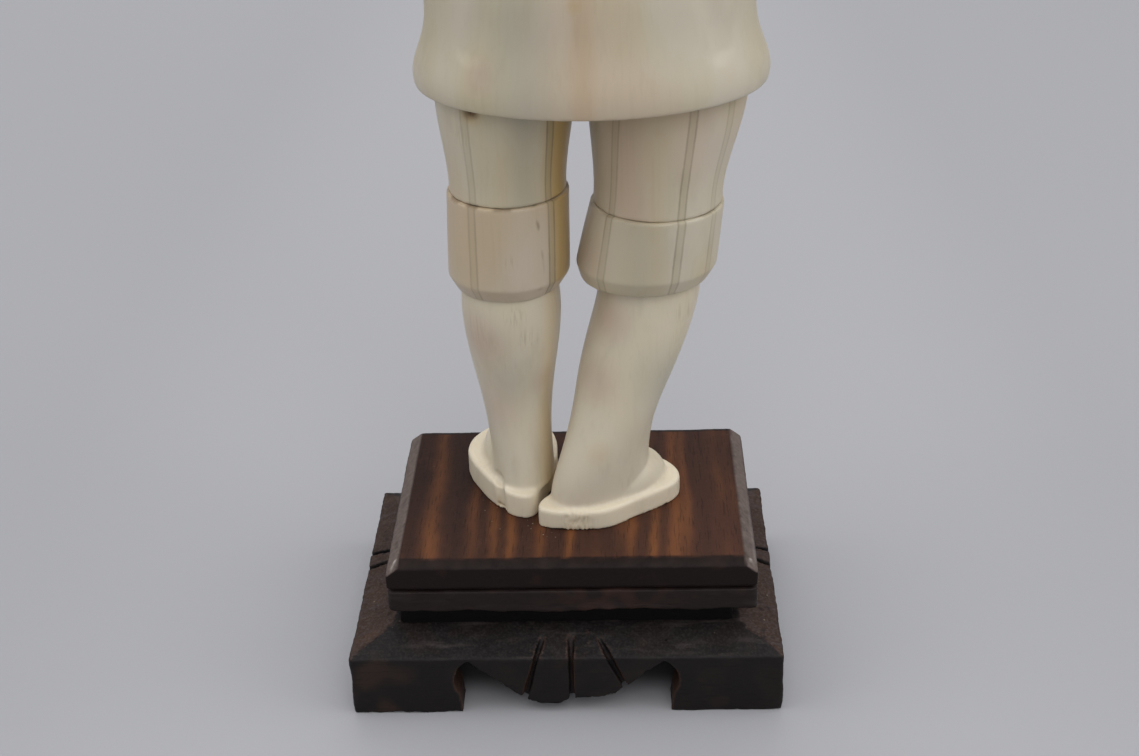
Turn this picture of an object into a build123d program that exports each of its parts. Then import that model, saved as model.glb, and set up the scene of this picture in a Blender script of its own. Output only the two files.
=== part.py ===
from build123d import *
import math
import os

# Carved standing figure on a two-tier hardwood stand, in millimetres.
# The origin is the middle of the stand's underside, +Z is up and the figure faces -Y.
# The figure is put together from sections that stand on each other and are held by hidden pegs.

# Driving dimensions of the stand
plinth_width = 80.0
plinth_depth = 57.4
plinth_edge_height = 12.4
plinth_top_rise = 2.7
plinth_top_inset = 7.8
plinth_corner_radius = 0.6
apron_thickness = 7.0
underside_recess = 9.6
foot_length_front = 20.5
foot_length_side = 14.0
scoop_height = 11.6
scoop_bulge = 1.5
fan_middle_height = 3.0
fan_front_shift = -1.0
fan_side_shift = -3.2
fan_cut_width = 0.9
fan_cut_depth = 1.7
fan_cut_reach = 5.6
waist_width = 62.2
waist_depth = 41.6
waist_height = 4.9
board_width = 67.8
board_depth = 48.6
board_shift = -1.4
middle_thickness = 4.5
middle_corner_radius = 1.0
top_thickness = 6.0
top_chamfer_width = 2.2
top_chamfer_drop = 0.75
top_side_drop = 1.9
under_chamfer = 0.8
dowel_diameter = 3.2
dowel_inset_x = 8.1
dowel_inset_y = 7.8
dowel_bite = 3.0

# Driving dimensions of the feet and lower legs
left_sandal_length = 28.3
right_sandal_length = 29.4
left_sandal_width = 17.7
right_sandal_width = 15.2
left_sandal_thickness = 5.2
right_sandal_thickness = 4.1
sandal_rim = 0.8
instep_height = 6.4
leg_socket = 3.0
left_heel_x = 7.7
left_heel_y = 9.4
left_turn = 6.0
right_heel_x = 4.3
right_heel_y = 12.3
right_turn = -55.0
left_ankle_x = 8.3
left_ankle_y = -2.0
right_ankle_x = -6.8
right_ankle_y = 4.6
left_ankle_half_length = 9.8
right_ankle_half_length = 10.6
ankle_half_width = 6.2
calf_half_depth = 9.0
left_calf_half_width = 8.8
right_calf_half_width = 9.3

# Driving dimensions of the cuffs and trousers
left_cuff_bottom = 44.0
left_cuff_height = 18.5
left_cuff_half_width = 10.9
left_cuff_half_depth = 11.0
right_cuff_bottom = 45.3
right_cuff_height = 14.5
right_cuff_half_width = 11.9
right_cuff_half_depth = 11.8
left_cuff_tuck = 1.6
right_cuff_tuck = 1.2
left_cuff_foot_shift = 0.2
right_cuff_foot_shift = 0.9
left_cuff_flare = 0.1
right_cuff_flare = 0.8
cuff_tuck_height = 2.8
cuff_rim = 0.45
left_knee_x = 9.0
right_knee_x = -16.3
left_cuff_lean = -0.4
right_cuff_lean = -1.6
knee_y = -2.6
trouser_step = 0.5
left_hip_half_width = 12.2
right_hip_half_width = 13.8
hip_half_depth = 13.6
hip_gap = 2.4
crotch_x = -4.9
hip_y = -4.6

# Driving dimensions of the coat and belt
figure_x = -6.6
figure_y = -5.2
hem_height = 81.4
hem_half_width = 30.5
hem_half_depth = 22.6
hem_wall = 1.8
hem_recess = 3.4
hem_rim = 0.2
skirt_height = 23.0
waist_half_width = 24.0
waist_half_depth = 18.0
waist_ledge = 0.9
belt_height = 6.4
belt_thickness = 1.1
belt_rim = 0.4
knot_width = 8.4
knot_height = 6.0
knot_depth = 4.6
belt_end_length = 13.0
belt_end_width = 4.6
belt_end_thickness = 1.3
belt_end_splay = 14.0
chest_height = 28.7
chest_half_width = 20.6
chest_half_depth = 15.8
neck_base_half_width = 10.4
neck_base_half_depth = 9.2
collar_width = 4.2
collar_proud = 0.7

# Driving dimensions of the arms and hands
shoulder_drop = 7.6
shoulder_half_span = 20.4
shoulder_radius = 6.7
elbow_out = 28.0
elbow_back = 1.4
elbow_rise = 5.6
elbow_radius = 7.2
wrist_out = 10.8
wrist_forward = 24.0
wrist_rise = 10.6
mouth_half_height = 9.2
mouth_half_depth = 6.0
sleeve_wall = 1.3
sleeve_mouth_depth = 4.0
palm_length = 9.4
palm_half_width = 3.9
palm_half_thickness = 2.1
finger_length = 7.4
finger_radius = 1.0
thumb_spread = 28.0

# Driving dimensions of the head
head_height = 27.0
head_half_width = 10.0
head_half_depth = 11.4
head_lift = 2.0
neck_radius = 6.4
neck_socket = 2.4
nose_length = 6.4
nose_half_width = 1.5
ear_height = 6.0
ear_thickness = 1.3
hair_thickness = 0.7
hair_tilt = 24.0
topknot_length = 8.0
topknot_radius = 1.8

# Pegs and fits
foot_pin_diameter = 2.4
foot_pin_bite = 4.0
knee_peg_diameter = 4.0
peg_bite = 5.0
hip_peg_diameter = 4.0
waist_peg_diameter = 6.0
neck_peg_diameter = 3.0
shoulder_peg_diameter = 2.6
wrist_peg_diameter = 1.6
wrist_peg_bite = 2.4
peg_fit = 0.05
seat_fit = 0.08
overrun = 1.0

# Heights worked out from the driving dimensions
plinth_top = plinth_edge_height + plinth_top_rise
waist_top = plinth_top + waist_height
middle_top = waist_top + middle_thickness
stand_top = middle_top + top_thickness
hem_z = stand_top + hem_height
skirt_top = hem_z + skirt_height
belt_top = skirt_top + belt_height
waist_joint = skirt_top + belt_height / 2
chest_top = belt_top + chest_height
chin_z = chest_top + head_lift

os.makedirs("parts", exist_ok=True)
pieces = {}


def rod(diameter, low, high, x=0, y=0):
    """An upright round peg between two heights."""
    return Pos(x, y, (low + high) / 2) * Cylinder(diameter / 2, high - low)


def oval(half_width, half_depth, x, y, z, turn=0):
    """A level oval face, used as one section of a loft."""
    return Pos(x, y, z) * Rot(0, 0, turn) * Ellipse(half_width, half_depth)


def ball(half_x, half_y, half_z):
    """An egg shape with three half sizes."""
    return scale(Sphere(1), by=(half_x, half_y, half_z))


def block(width, depth, low, high, radius, x=0):
    """A board with rounded corners in plan."""
    outline = Pos(x, 0, low) * RectangleRounded(width, depth, radius)
    return extrude(outline, high - low)


# Stand: lower tier, a hipped block with a carved apron round a hollow underside
# Wings and lobes of each fan. A wing's tip is a share of half the gap between the feet from the fan's
# middle. The tip, then the lowest point of the lobe beside it, is a share of the scoops' height up.
# The wing at the positive end comes first.
front_wing_shares = ((0.456, 0.276, 0.181), (0.549, 0.543, 0.284))
side_wing_shares = ((0.408, 0.397, 0.207), (0.408, 0.397, 0.207))
# Saw cuts of each fan, in shares of half the gap between the feet: how far the cut is from the fan's
# middle, and how far it spreads from end to end
front_cut_shares = ((0.333, 0.267), (0.0, 0.0), (-0.364, -0.456))
side_cut_shares = ((0.163, 0.163), (-0.163, -0.163))


def apron_cut(length, foot_length, shift, wing_shares):
    """Outline of what is cut away under one side of the apron, seen square on."""
    foot = length / 2 - foot_length
    bulge = foot + scoop_bulge
    crown = foot - scoop_bulge
    mid = scoop_height * 0.62
    neck = scoop_height * 0.36
    outline = Curve() + Line((foot, -overrun), (-foot, -overrun))
    for way, (reach_share, tip_share, lobe_share) in zip((1, -1), wing_shares):
        reach = foot * reach_share
        tip_height = scoop_height * tip_share
        lobe_height = scoop_height * lobe_share
        tip = (shift + way * reach, tip_height)
        neck_point = (way * (foot + scoop_bulge * 0.3), neck)
        crown_point = (way * crown, scoop_height)
        outline += Line((way * foot, -overrun), (way * foot, 0))
        outline += Line((way * foot, 0), neck_point)
        outline += ThreePointArc(neck_point, (way * bulge, mid), crown_point)
        outline += Line(crown_point, tip)
        outline += ThreePointArc(tip, (shift + way * reach / 2, lobe_height), (shift, fan_middle_height))
    return make_face(outline)


def upright(plane):
    """The same plane, turned so that its Y runs up."""
    level = Vector(0, 0, 1).cross(plane.z_dir)
    return Plane(origin=plane.origin, x_dir=level, z_dir=plane.z_dir)


def fan_cut(edge_point, outward, spread):
    """A saw cut that runs down the sloping top and over the edge, fanned out by its spread."""
    side = Vector(outward.Y, -outward.X, 0)
    slope = math.atan2(plinth_top_rise, plinth_top_inset)
    lean = spread / (plinth_edge_height + plinth_top_inset)
    up = Vector(0, 0, math.sin(slope)) - outward * math.cos(slope) - side * lean
    down = Vector(0, 0, -1) + side * lean
    normal = up.cross(down).normalized()
    plane = Plane(origin=edge_point, x_dir=down.normalized(), z_dir=normal)
    inner = edge_point - outward * fan_cut_depth - Vector(0, 0, fan_cut_depth)
    tip = edge_point + up * (fan_cut_reach / up.length)
    foot = edge_point + down * (plinth_edge_height + overrun)
    corners = [
        tip,
        inner,
        foot - outward * fan_cut_depth,
        foot + outward * overrun,
        edge_point + outward * overrun,
        edge_point + outward * overrun + Vector(0, 0, overrun),
        tip + Vector(0, 0, overrun),
    ]
    flat = [plane.to_local_coords(corner) for corner in corners]
    outline = make_face(Polyline(*[(point.X, point.Y) for point in flat], close=True))
    return extrude(plane * outline, fan_cut_width / 2, both=True)


def make_plinth():
    slab = block(plinth_width, plinth_depth, 0, plinth_edge_height, plinth_corner_radius)
    low = Pos(0, 0, plinth_edge_height) * RectangleRounded(plinth_width, plinth_depth, plinth_corner_radius)
    top_width = plinth_width - 2 * plinth_top_inset
    top_depth = plinth_depth - 2 * plinth_top_inset
    high = Pos(0, 0, plinth_top) * RectangleRounded(top_width, top_depth, plinth_corner_radius)
    body = slab + loft([low, high])
    hollow_width = plinth_width - 2 * apron_thickness
    hollow_depth = plinth_depth - 2 * apron_thickness
    hollow = Pos(0, 0, -overrun) * Rectangle(hollow_width, hollow_depth)
    body -= extrude(hollow, underside_recess + overrun)
    front = apron_cut(plinth_width, foot_length_front, fan_front_shift, front_wing_shares)
    side = apron_cut(plinth_depth, foot_length_side, 0, side_wing_shares)
    for start in (plinth_depth / 2 + overrun, apron_thickness - plinth_depth / 2):
        body -= extrude(Plane.XZ.offset(-start) * front, apron_thickness + overrun)
    for sign in (-1, 1):
        side_face = Plane(origin=(sign * (plinth_width / 2 - apron_thickness), fan_side_shift, 0),
                          x_dir=(0, 1, 0), z_dir=(sign, 0, 0))
        body -= extrude(upright(side_face) * side, apron_thickness + overrun)
    half_gap_x = plinth_width / 2 - foot_length_front
    half_gap_y = plinth_depth / 2 - foot_length_side
    for sign in (-1, 1):
        out_y = Vector(0, sign, 0)
        for place_share, spread_share in front_cut_shares:
            place = fan_front_shift + half_gap_x * place_share
            edge = Vector(place, sign * plinth_depth / 2, plinth_edge_height)
            body -= fan_cut(edge, out_y, sign * half_gap_x * spread_share)
        out_x = Vector(sign, 0, 0)
        for place_share, spread_share in side_cut_shares:
            place = fan_side_shift + half_gap_y * place_share
            edge = Vector(sign * plinth_width / 2, place, plinth_edge_height)
            body -= fan_cut(edge, out_x, -sign * half_gap_y * spread_share)
    for x, y in dowel_places:
        body -= rod(dowel_diameter + 2 * peg_fit, plinth_top - dowel_bite, plinth_top + overrun, x, y)
    return body


# Dowels that pin the tiers together, one near each corner of the waist block
dowel_x = waist_width / 2 - dowel_inset_x
dowel_y = waist_depth / 2 - dowel_inset_y
dowel_places = [(board_shift + i * dowel_x, j * dowel_y) for i in (-1, 1) for j in (-1, 1)]
dowel_low = plinth_top - dowel_bite
dowel_high = middle_top + dowel_bite
dowel_hole = dowel_diameter + 2 * peg_fit

pieces["plinth_lower"] = make_plinth()
pieces["waist_block"] = block(waist_width, waist_depth, plinth_top, waist_top, middle_corner_radius)
pieces["middle_board"] = block(
    board_width, board_depth, waist_top, middle_top, middle_corner_radius, board_shift
)
top = extrude(Pos(board_shift, 0, middle_top) * Rectangle(board_width, board_depth), top_thickness)
top = chamfer(top.edges().group_by(Axis.Z)[0], under_chamfer)
for turn, length, drop in (
    (0, board_depth / 2, top_chamfer_drop), (180, board_depth / 2, top_chamfer_drop),
    (90, board_width / 2, top_side_drop), (-90, board_width / 2, top_side_drop),
):
    wedge = make_face(Polyline(
        (length - top_chamfer_width, 0), (length, -drop), (length + overrun, -drop),
        (length + overrun, overrun), (length - top_chamfer_width, overrun), close=True
    ))
    place = Pos(board_shift, 0, stand_top) * Rot(0, 0, turn) * Plane.YZ
    top -= extrude(place * wedge, board_width, both=True)
pieces["top_board"] = top
for name in ("waist_block", "middle_board", "top_board"):
    for x, y in dowel_places:
        pieces[name] -= rod(dowel_hole, dowel_low, dowel_high, x, y)
pieces["stand_dowels"] = Compound(
    children=[rod(dowel_diameter, dowel_low, dowel_high, x, y) for x, y in dowel_places]
)


# Feet and lower legs: one section each, from the sandal's sole to the socket in the cuff
# Outline of each sole as shares of its length from the heel and of its width from the middle line,
# outer side first
left_outline_shares = (
    (0.0, 0.0), (0.042, 0.12), (0.143, 0.25), (0.4, 0.45), (0.64, 0.55), (0.87, 0.41), (1.0, 0.0),
    (0.86, -0.38), (0.61, -0.44), (0.365, -0.36), (0.142, -0.21), (0.02, -0.12),
)
right_outline_shares = (
    (0.0, 0.0), (0.055, 0.15), (0.17, 0.33), (0.32, 0.485), (0.5, 0.51), (0.72, 0.5), (0.92, 0.43),
    (1.0, 0.04), (0.93, -0.34), (0.7, -0.48), (0.38, -0.45), (0.14, -0.24), (0.02, -0.12),
)


def foot_place(heel_x, heel_y, turn):
    """The foot's own frame on the board: Y runs back from the heel, so the toes are at minus Y."""
    return Pos(heel_x, heel_y, stand_top) * Rot(0, 0, turn)


def sandal(place, outer_side, length, width, thickness, outline_shares):
    """A thick sole, narrower at the heel, with a rounded rim."""
    points = [(outer_side * width * across, -length * along) for along, across in outline_shares]
    outline = make_face(Spline(*points, periodic=True))
    sole = extrude(outline, thickness)
    return place * fillet(sole.edges().group_by(Axis.Z)[-1], sandal_rim)


# Stations of each leg from the sole to the cuff: share of the way up, share of the way across to the
# knee, share of the calf's half width, share of its half depth and share of the foot's turn
left_leg_shares = (
    (0.17, 0.0, 0.67, 0.92, 1.0),
    (0.42, 0.5, 0.77, 0.84, 0.6),
    (0.72, 0.9, 0.98, 1.0, 0.2),
)
right_leg_shares = (
    (0.12, 0.04, 0.7, 1.1, 0.95),
    (0.28, 0.18, 0.77, 1.0, 0.72),
    (0.48, 0.41, 0.88, 0.95, 0.36),
    (0.73, 0.76, 0.985, 1.01, 0.1),
)


def make_leg(sole, place, length, thickness, turn, ankle, knee_x, cuff_low, calf_half_width, leg_shares):
    ankle_x, ankle_y, ankle_half_length = ankle
    sole_top = stand_top + thickness
    sections = [oval(ankle_half_width, ankle_half_length, ankle_x, ankle_y, sole_top - sandal_rim, turn)]
    for up, across, wide, deep, turned in leg_shares:
        sections.append(oval(
            calf_half_width * wide, calf_half_depth * deep, ankle_x + (knee_x - ankle_x) * across,
            ankle_y + (knee_y - ankle_y) * across, sole_top + (cuff_low - sole_top) * up, turn * turned
        ))
    knee = oval(calf_half_width, calf_half_depth, knee_x, knee_y, cuff_low)
    shank = loft(sections + [knee]) + extrude(knee, leg_socket)
    instep = place * Pos(0, -length * 0.6, thickness) * ball(
        ankle_half_width * 1.08, length * 0.34, instep_height
    )
    keep = place * Pos(0, -length / 2, thickness - sandal_rim + instep_height) * Box(
        length, length * 2, instep_height * 2
    )
    return sole + shank + (instep & keep)


left_cuff_low = stand_top + left_cuff_bottom
right_cuff_low = stand_top + right_cuff_bottom
left_place = foot_place(left_heel_x, left_heel_y, left_turn)
right_place = foot_place(right_heel_x, right_heel_y, right_turn)
left_ankle = (left_ankle_x, left_ankle_y, left_ankle_half_length)
right_ankle = (right_ankle_x, right_ankle_y, right_ankle_half_length)
left_sole = sandal(
    left_place, 1, left_sandal_length, left_sandal_width, left_sandal_thickness, left_outline_shares
)
right_sole = sandal(
    right_place, -1, right_sandal_length, right_sandal_width, right_sandal_thickness, right_outline_shares
)
pieces["leg_left"] = make_leg(
    left_sole, left_place, left_sandal_length, left_sandal_thickness, left_turn, left_ankle, left_knee_x,
    left_cuff_low, left_calf_half_width, left_leg_shares
)
pieces["leg_right"] = make_leg(
    right_sole, right_place, right_sandal_length, right_sandal_thickness, right_turn, right_ankle,
    right_knee_x, right_cuff_low, right_calf_half_width, right_leg_shares
)


# Cuffs: straight-sided oval rings, tucked in below, with a socket for the leg and a bore for the peg
def make_cuff(knee_x, half_width, half_depth, bottom, height, lean, flare, tuck, foot_shift,
              calf_half_width):
    low = stand_top + bottom
    high = low + height
    foot = oval(half_width + flare - tuck, half_depth - tuck, knee_x + foot_shift, knee_y, low)
    widest = oval(half_width + flare, half_depth, knee_x + foot_shift / 2, knee_y, low + cuff_tuck_height)
    rim = oval(half_width, half_depth, knee_x + lean, knee_y, high)
    shell = loft([foot, widest]) + loft([widest, rim])
    shell = fillet(shell.edges().group_by(Axis.Z)[-1], cuff_rim)
    socket = oval(calf_half_width + seat_fit, calf_half_depth + seat_fit, knee_x, knee_y, low - overrun)
    return shell - extrude(socket, leg_socket + overrun)


pieces["cuff_left"] = make_cuff(
    left_knee_x, left_cuff_half_width, left_cuff_half_depth, left_cuff_bottom, left_cuff_height,
    left_cuff_lean, left_cuff_flare, left_cuff_tuck, left_cuff_foot_shift, left_calf_half_width
)
pieces["cuff_right"] = make_cuff(
    right_knee_x, right_cuff_half_width, right_cuff_half_depth, right_cuff_bottom, right_cuff_height,
    right_cuff_lean, right_cuff_flare, right_cuff_tuck, right_cuff_foot_shift, right_calf_half_width
)


# Trousers: one section for each leg, from the cuff up into the recess under the coat
left_hip_x = crotch_x + hip_gap / 2 + left_hip_half_width
right_hip_x = crotch_x - hip_gap / 2 - right_hip_half_width
recess_top = hem_z + hem_recess


def make_trouser(knee_x, half_width, half_depth, cuff_top, hip_x, hip_half_width):
    knee_half_width = half_width - trouser_step
    knee_half_depth = half_depth - trouser_step
    return loft([
        oval(knee_half_width, knee_half_depth, knee_x, knee_y, cuff_top),
        oval((knee_half_width + hip_half_width) / 2, (knee_half_depth + hip_half_depth) / 2,
             (knee_x + hip_x) / 2, (knee_y + hip_y) / 2, (cuff_top + hem_z) / 2),
        oval(hip_half_width, hip_half_depth, hip_x, hip_y, hem_z),
        oval(hip_half_width - trouser_step, hip_half_depth - trouser_step, hip_x, hip_y, recess_top),
    ])


left_cuff_top = stand_top + left_cuff_bottom + left_cuff_height
right_cuff_top = stand_top + right_cuff_bottom + right_cuff_height
pieces["trouser_left"] = make_trouser(
    left_knee_x + left_cuff_lean, left_cuff_half_width, left_cuff_half_depth, left_cuff_top, left_hip_x,
    left_hip_half_width
)
pieces["trouser_right"] = make_trouser(
    right_knee_x + right_cuff_lean, right_cuff_half_width, right_cuff_half_depth, right_cuff_top,
    right_hip_x, right_hip_half_width
)


# Coat: a flared lower section recessed from below, and an upper section with a crossed collar
def coat_oval(half_width, half_depth, z, forward=0):
    return oval(half_width, half_depth, figure_x, figure_y - forward, z)


def skirt_loft(grow):
    """The coat below the belt, grown outwards by a small amount for what lies against it."""
    return loft([
        coat_oval(hem_half_width - hem_rim + grow, hem_half_depth - hem_rim + grow, hem_z),
        coat_oval(hem_half_width + grow, hem_half_depth + grow, hem_z + skirt_height * 0.17),
        coat_oval(hem_half_width * 0.94 + grow, hem_half_depth * 0.95 + grow, hem_z + skirt_height * 0.4),
        coat_oval(hem_half_width * 0.92 + grow, hem_half_depth * 0.91 + grow, hem_z + skirt_height * 0.72),
        coat_oval(waist_half_width + waist_ledge + grow, waist_half_depth + waist_ledge + grow, skirt_top),
    ])


def belt_oval(grow):
    """The belt's outer face as a solid oval drum."""
    spare = belt_thickness + grow
    return extrude(coat_oval(waist_half_width + spare, waist_half_depth + spare, skirt_top), belt_height)


def make_skirt():
    body = skirt_loft(0)
    body += extrude(coat_oval(waist_half_width, waist_half_depth, skirt_top), belt_height / 2)
    inner = coat_oval(hem_half_width - hem_wall, hem_half_depth - hem_wall, hem_z - overrun)
    return body - extrude(inner, hem_recess + overrun)


def chest_loft(grow):
    """The coat above the belt, grown outwards by a small amount for the collar and the sleeves' seats."""
    ledge_width = waist_half_width + waist_ledge + grow
    ledge_depth = waist_half_depth + waist_ledge + grow
    return loft([
        coat_oval(ledge_width, ledge_depth, belt_top),
        coat_oval(chest_half_width * 1.13 + grow, chest_half_depth * 1.14 + grow, belt_top + chest_height * 0.2),
        coat_oval(chest_half_width + grow, chest_half_depth + grow, belt_top + chest_height * 0.55),
        coat_oval(chest_half_width * 1.02 + grow, chest_half_depth * 0.9 + grow,
                  belt_top + chest_height * 0.78),
        coat_oval(chest_half_width * 0.86 + grow, chest_half_depth * 0.76 + grow,
                  belt_top + chest_height * 0.92),
        coat_oval(neck_base_half_width + grow, neck_base_half_depth + grow, chest_top),
    ])


def collar_strip(side, from_z, to_z, reach):
    """A straight band seen from the front, from the side of the neck down across the chest."""
    slant = side * reach
    start = figure_x + side * neck_base_half_width * 0.8
    half = collar_width / 2
    end = start - slant
    corners = [(start - half, from_z), (start + half, from_z), (end + half, to_z), (end - half, to_z)]
    outline = Plane.XZ.offset(-figure_y) * make_face(Polyline(*corners, close=True))
    return extrude(outline, hem_half_depth)


def make_coat_body():
    body = chest_loft(0)
    grown = chest_loft(collar_proud)
    reach = neck_base_half_width * 1.3
    over = collar_strip(1, chest_top, belt_top, reach)
    under = collar_strip(-1, chest_top, chest_top - chest_height * 0.5, reach * 0.5)
    ring = extrude(coat_oval(neck_base_half_width + collar_proud, neck_base_half_depth + collar_proud,
                             chest_top - collar_width), collar_width + collar_proud)
    body += ring + (grown & (under + over))
    body += extrude(coat_oval(waist_half_width, waist_half_depth, waist_joint), belt_height / 2)
    return body - rod(2 * (neck_radius + seat_fit), chest_top - neck_socket, chest_top + collar_width, figure_x,
                      figure_y)


pieces["coat_skirt"] = make_skirt()


# Belt: a plain band seated on the ledge between the two coat sections, with its knot in front
def make_belt():
    inner = coat_oval(waist_half_width + seat_fit, waist_half_depth + seat_fit, skirt_top)
    band = belt_oval(0) - extrude(inner, belt_height)
    return fillet(band.faces().sort_by(Axis.Z)[-1].outer_wire().edges(), belt_rim)


def make_knot():
    belt_front = figure_y - waist_half_depth - belt_thickness
    middle = Pos(figure_x, belt_front, waist_joint)
    end = Box(belt_end_width, 2 * knot_depth, belt_end_length)
    end = fillet(end.edges().filter_by(Axis.Y), belt_rim)
    right = middle * Pos(-belt_end_width * 0.62, 0, -belt_end_length / 2) * Rot(0, -belt_end_splay, 0) * end
    left = middle * Pos(belt_end_width * 0.62, 0, -belt_end_length / 2) * Rot(0, belt_end_splay, 0) * end
    lying = skirt_loft(belt_end_thickness) + belt_oval(belt_end_thickness + seat_fit)
    knot = middle * ball(knot_width / 2, knot_depth, knot_height / 2) + ((left + right) & lying)
    return knot - belt_oval(seat_fit) - skirt_loft(seat_fit)


pieces["belt"] = make_belt()
pieces["belt_knot"] = max(make_knot().solids(), key=lambda solid: solid.volume)


# Sleeves: bent arms in wide sleeves, each one section with a hollow mouth for the hand
shoulder_z = chest_top - shoulder_drop
elbow_z = skirt_top + elbow_rise
wrist_z = skirt_top + wrist_rise


# The rounded bends of the sleeve stand a little proud of its straight runs
bend_share = 1.02


def arm_run(start, start_face, end, end_face):
    """A straight run of sleeve between two sections that face along it."""
    heading = (end - start).normalized()
    level = Vector(0, 0, 1).cross(heading).normalized()
    low = Plane(origin=start, x_dir=level, z_dir=heading)
    high = Plane(origin=end, x_dir=level, z_dir=heading)
    return loft([low * start_face, high * end_face]), high


def make_sleeve():
    """The left arm: shoulder, elbow and a wide mouth at the wrist."""
    shoulder = Vector(figure_x + shoulder_half_span, figure_y, shoulder_z)
    elbow = Vector(figure_x + elbow_out, figure_y + elbow_back, elbow_z)
    wrist = Vector(figure_x + wrist_out, figure_y - wrist_forward, wrist_z)
    upper, _ = arm_run(shoulder, Circle(shoulder_radius), elbow, Circle(elbow_radius))
    fore, mouth = arm_run(elbow, Circle(elbow_radius), wrist, Ellipse(mouth_half_depth, mouth_half_height))
    shoulder_ball = Pos(shoulder) * Sphere(shoulder_radius * bend_share)
    elbow_ball = Pos(elbow) * Sphere(elbow_radius * bend_share)
    arm = upper + shoulder_ball + elbow_ball + fore
    hollow = mouth * Ellipse(mouth_half_depth - sleeve_wall, mouth_half_height - sleeve_wall)
    arm -= extrude(hollow, sleeve_mouth_depth, both=True)
    arm -= chest_loft(seat_fit)
    arm -= belt_oval(seat_fit)
    arm -= skirt_loft(seat_fit)
    return max(arm.solids(), key=lambda solid: solid.volume)


pieces["coat_body"] = make_coat_body()
pieces["sleeve_left"] = make_sleeve()
pieces["sleeve_right"] = mirror(pieces["sleeve_left"], about=Plane.YZ.offset(figure_x))


# Hands: flat palms with four fingers and a thumb, the right laid in front of the left
def hand_plane(side, ahead_share):
    """The plane across a wrist; its Z points along the hand, inwards and a share of that ahead."""
    heading = Vector(-side, -ahead_share, 0).normalized()
    middle = (figure_x + side * wrist_out, figure_y - wrist_forward, wrist_z)
    return Plane(origin=middle, x_dir=Vector(0, 0, 1).cross(heading), z_dir=heading)


def make_hand(plane):
    palm = plane * Pos(0, 0, palm_length * 0.5) * ball(palm_half_thickness, palm_half_width, palm_length * 0.62)
    wrist_radius = palm_half_thickness * 1.15
    hand = palm + plane * Pos(0, 0, (palm_length * 0.4 - sleeve_mouth_depth * 0.5) / 2) * Cylinder(
        wrist_radius, palm_length * 0.4 + sleeve_mouth_depth * 0.5
    )
    pitch = 2 * palm_half_width * 0.24
    for index in (-1.5, -0.5, 0.5, 1.5):
        reach = finger_length * (1 - 0.07 * index * index)
        root = plane * Pos(0, index * pitch, palm_length * 0.8)
        hand += root * Pos(0, 0, reach / 2) * Cylinder(finger_radius, reach)
        hand += root * Pos(0, 0, reach) * Sphere(finger_radius)
    thumb = plane * Pos(0, palm_half_width * 0.75, palm_length * 0.45) * Rot(-thumb_spread, 0, 0)
    hand += thumb * Pos(0, 0, finger_length * 0.35) * Cylinder(finger_radius * 1.1, finger_length * 0.7)
    hand += thumb * Pos(0, 0, finger_length * 0.7) * Sphere(finger_radius * 1.1)
    return hand


hand_places = {"hand_left": hand_plane(1, -0.1), "hand_right": hand_plane(-1, 0.42)}
pieces["hand_left"] = make_hand(hand_places["hand_left"])
pieces["hand_right"] = make_hand(hand_places["hand_right"])


# Head: skull, jaw, nose and ears in one, with a close cap of hair, and a tied topknot on the crown
head_y = figure_y - head_half_depth * 0.1
crown_z = chin_z + head_height * 0.58


def skull(grow):
    return Pos(figure_x, head_y, crown_z) * ball(
        head_half_width + grow, head_half_depth + grow, head_height * 0.42 + grow
    )


def make_head():
    jaw = Pos(figure_x, head_y - head_half_depth * 0.17, chin_z + head_height * 0.34) * ball(
        head_half_width * 0.8, head_half_depth * 0.72, head_height * 0.34
    )
    neck = rod(2 * neck_radius, chest_top - neck_socket, chin_z + head_height * 0.35, figure_x, figure_y)
    nose = Pos(figure_x, head_y - head_half_depth * 0.93, chin_z + head_height * 0.42) * ball(
        nose_half_width, nose_half_width * 1.3, nose_length / 2
    )
    head = skull(0) + jaw + neck + nose
    for side in (-1, 1):
        head += Pos(figure_x + side * head_half_width * 0.97, head_y, chin_z + head_height * 0.43) * ball(
            ear_thickness, ear_height * 0.33, ear_height / 2
        )
    hair_line = Pos(figure_x, head_y, crown_z) * Rot(-hair_tilt, 0, 0)
    hair_space = hair_line * Pos(0, 0, head_height * 0.52) * Box(head_height * 2, head_height * 2, head_height)
    return head + (skull(hair_thickness) & hair_space)


def make_topknot():
    high = crown_z + head_height * 0.42 + hair_thickness + topknot_radius * 0.8
    middle = Pos(figure_x, head_y, high) * Rot(90, 0, 0)
    knot = middle * Cylinder(topknot_radius, topknot_length)
    for end in (-1, 1):
        knot += middle * Pos(0, 0, end * topknot_length / 2) * Sphere(topknot_radius)
    return knot - skull(hair_thickness + seat_fit)


pieces["head"] = make_head()
pieces["topknot"] = make_topknot()


# Pegs: round pins in drilled holes, one through every joint
def peg_set(name, pegs, holders):
    """Add the pegs as one node and drill each holder for them."""
    for holder in holders:
        for diameter, length, place in pegs:
            pieces[holder] -= place * Cylinder(diameter / 2 + peg_fit, length + 2 * peg_fit)
    pieces[name] = Compound(children=[place * Cylinder(diameter / 2, length) for diameter, length, place in pegs])


peg_set(
    "foot_pins",
    [(foot_pin_diameter, 2 * foot_pin_bite, Pos(x, y, stand_top)) for x, y, _ in (left_ankle, right_ankle)],
    ("top_board", "leg_left", "leg_right"),
)


def knee_peg(knee_x, lean, cuff_low, cuff_top):
    low = cuff_low + leg_socket - peg_bite
    high = cuff_top + peg_bite
    return knee_peg_diameter, high - low, Pos(knee_x + lean / 2, knee_y, (low + high) / 2)


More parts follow.
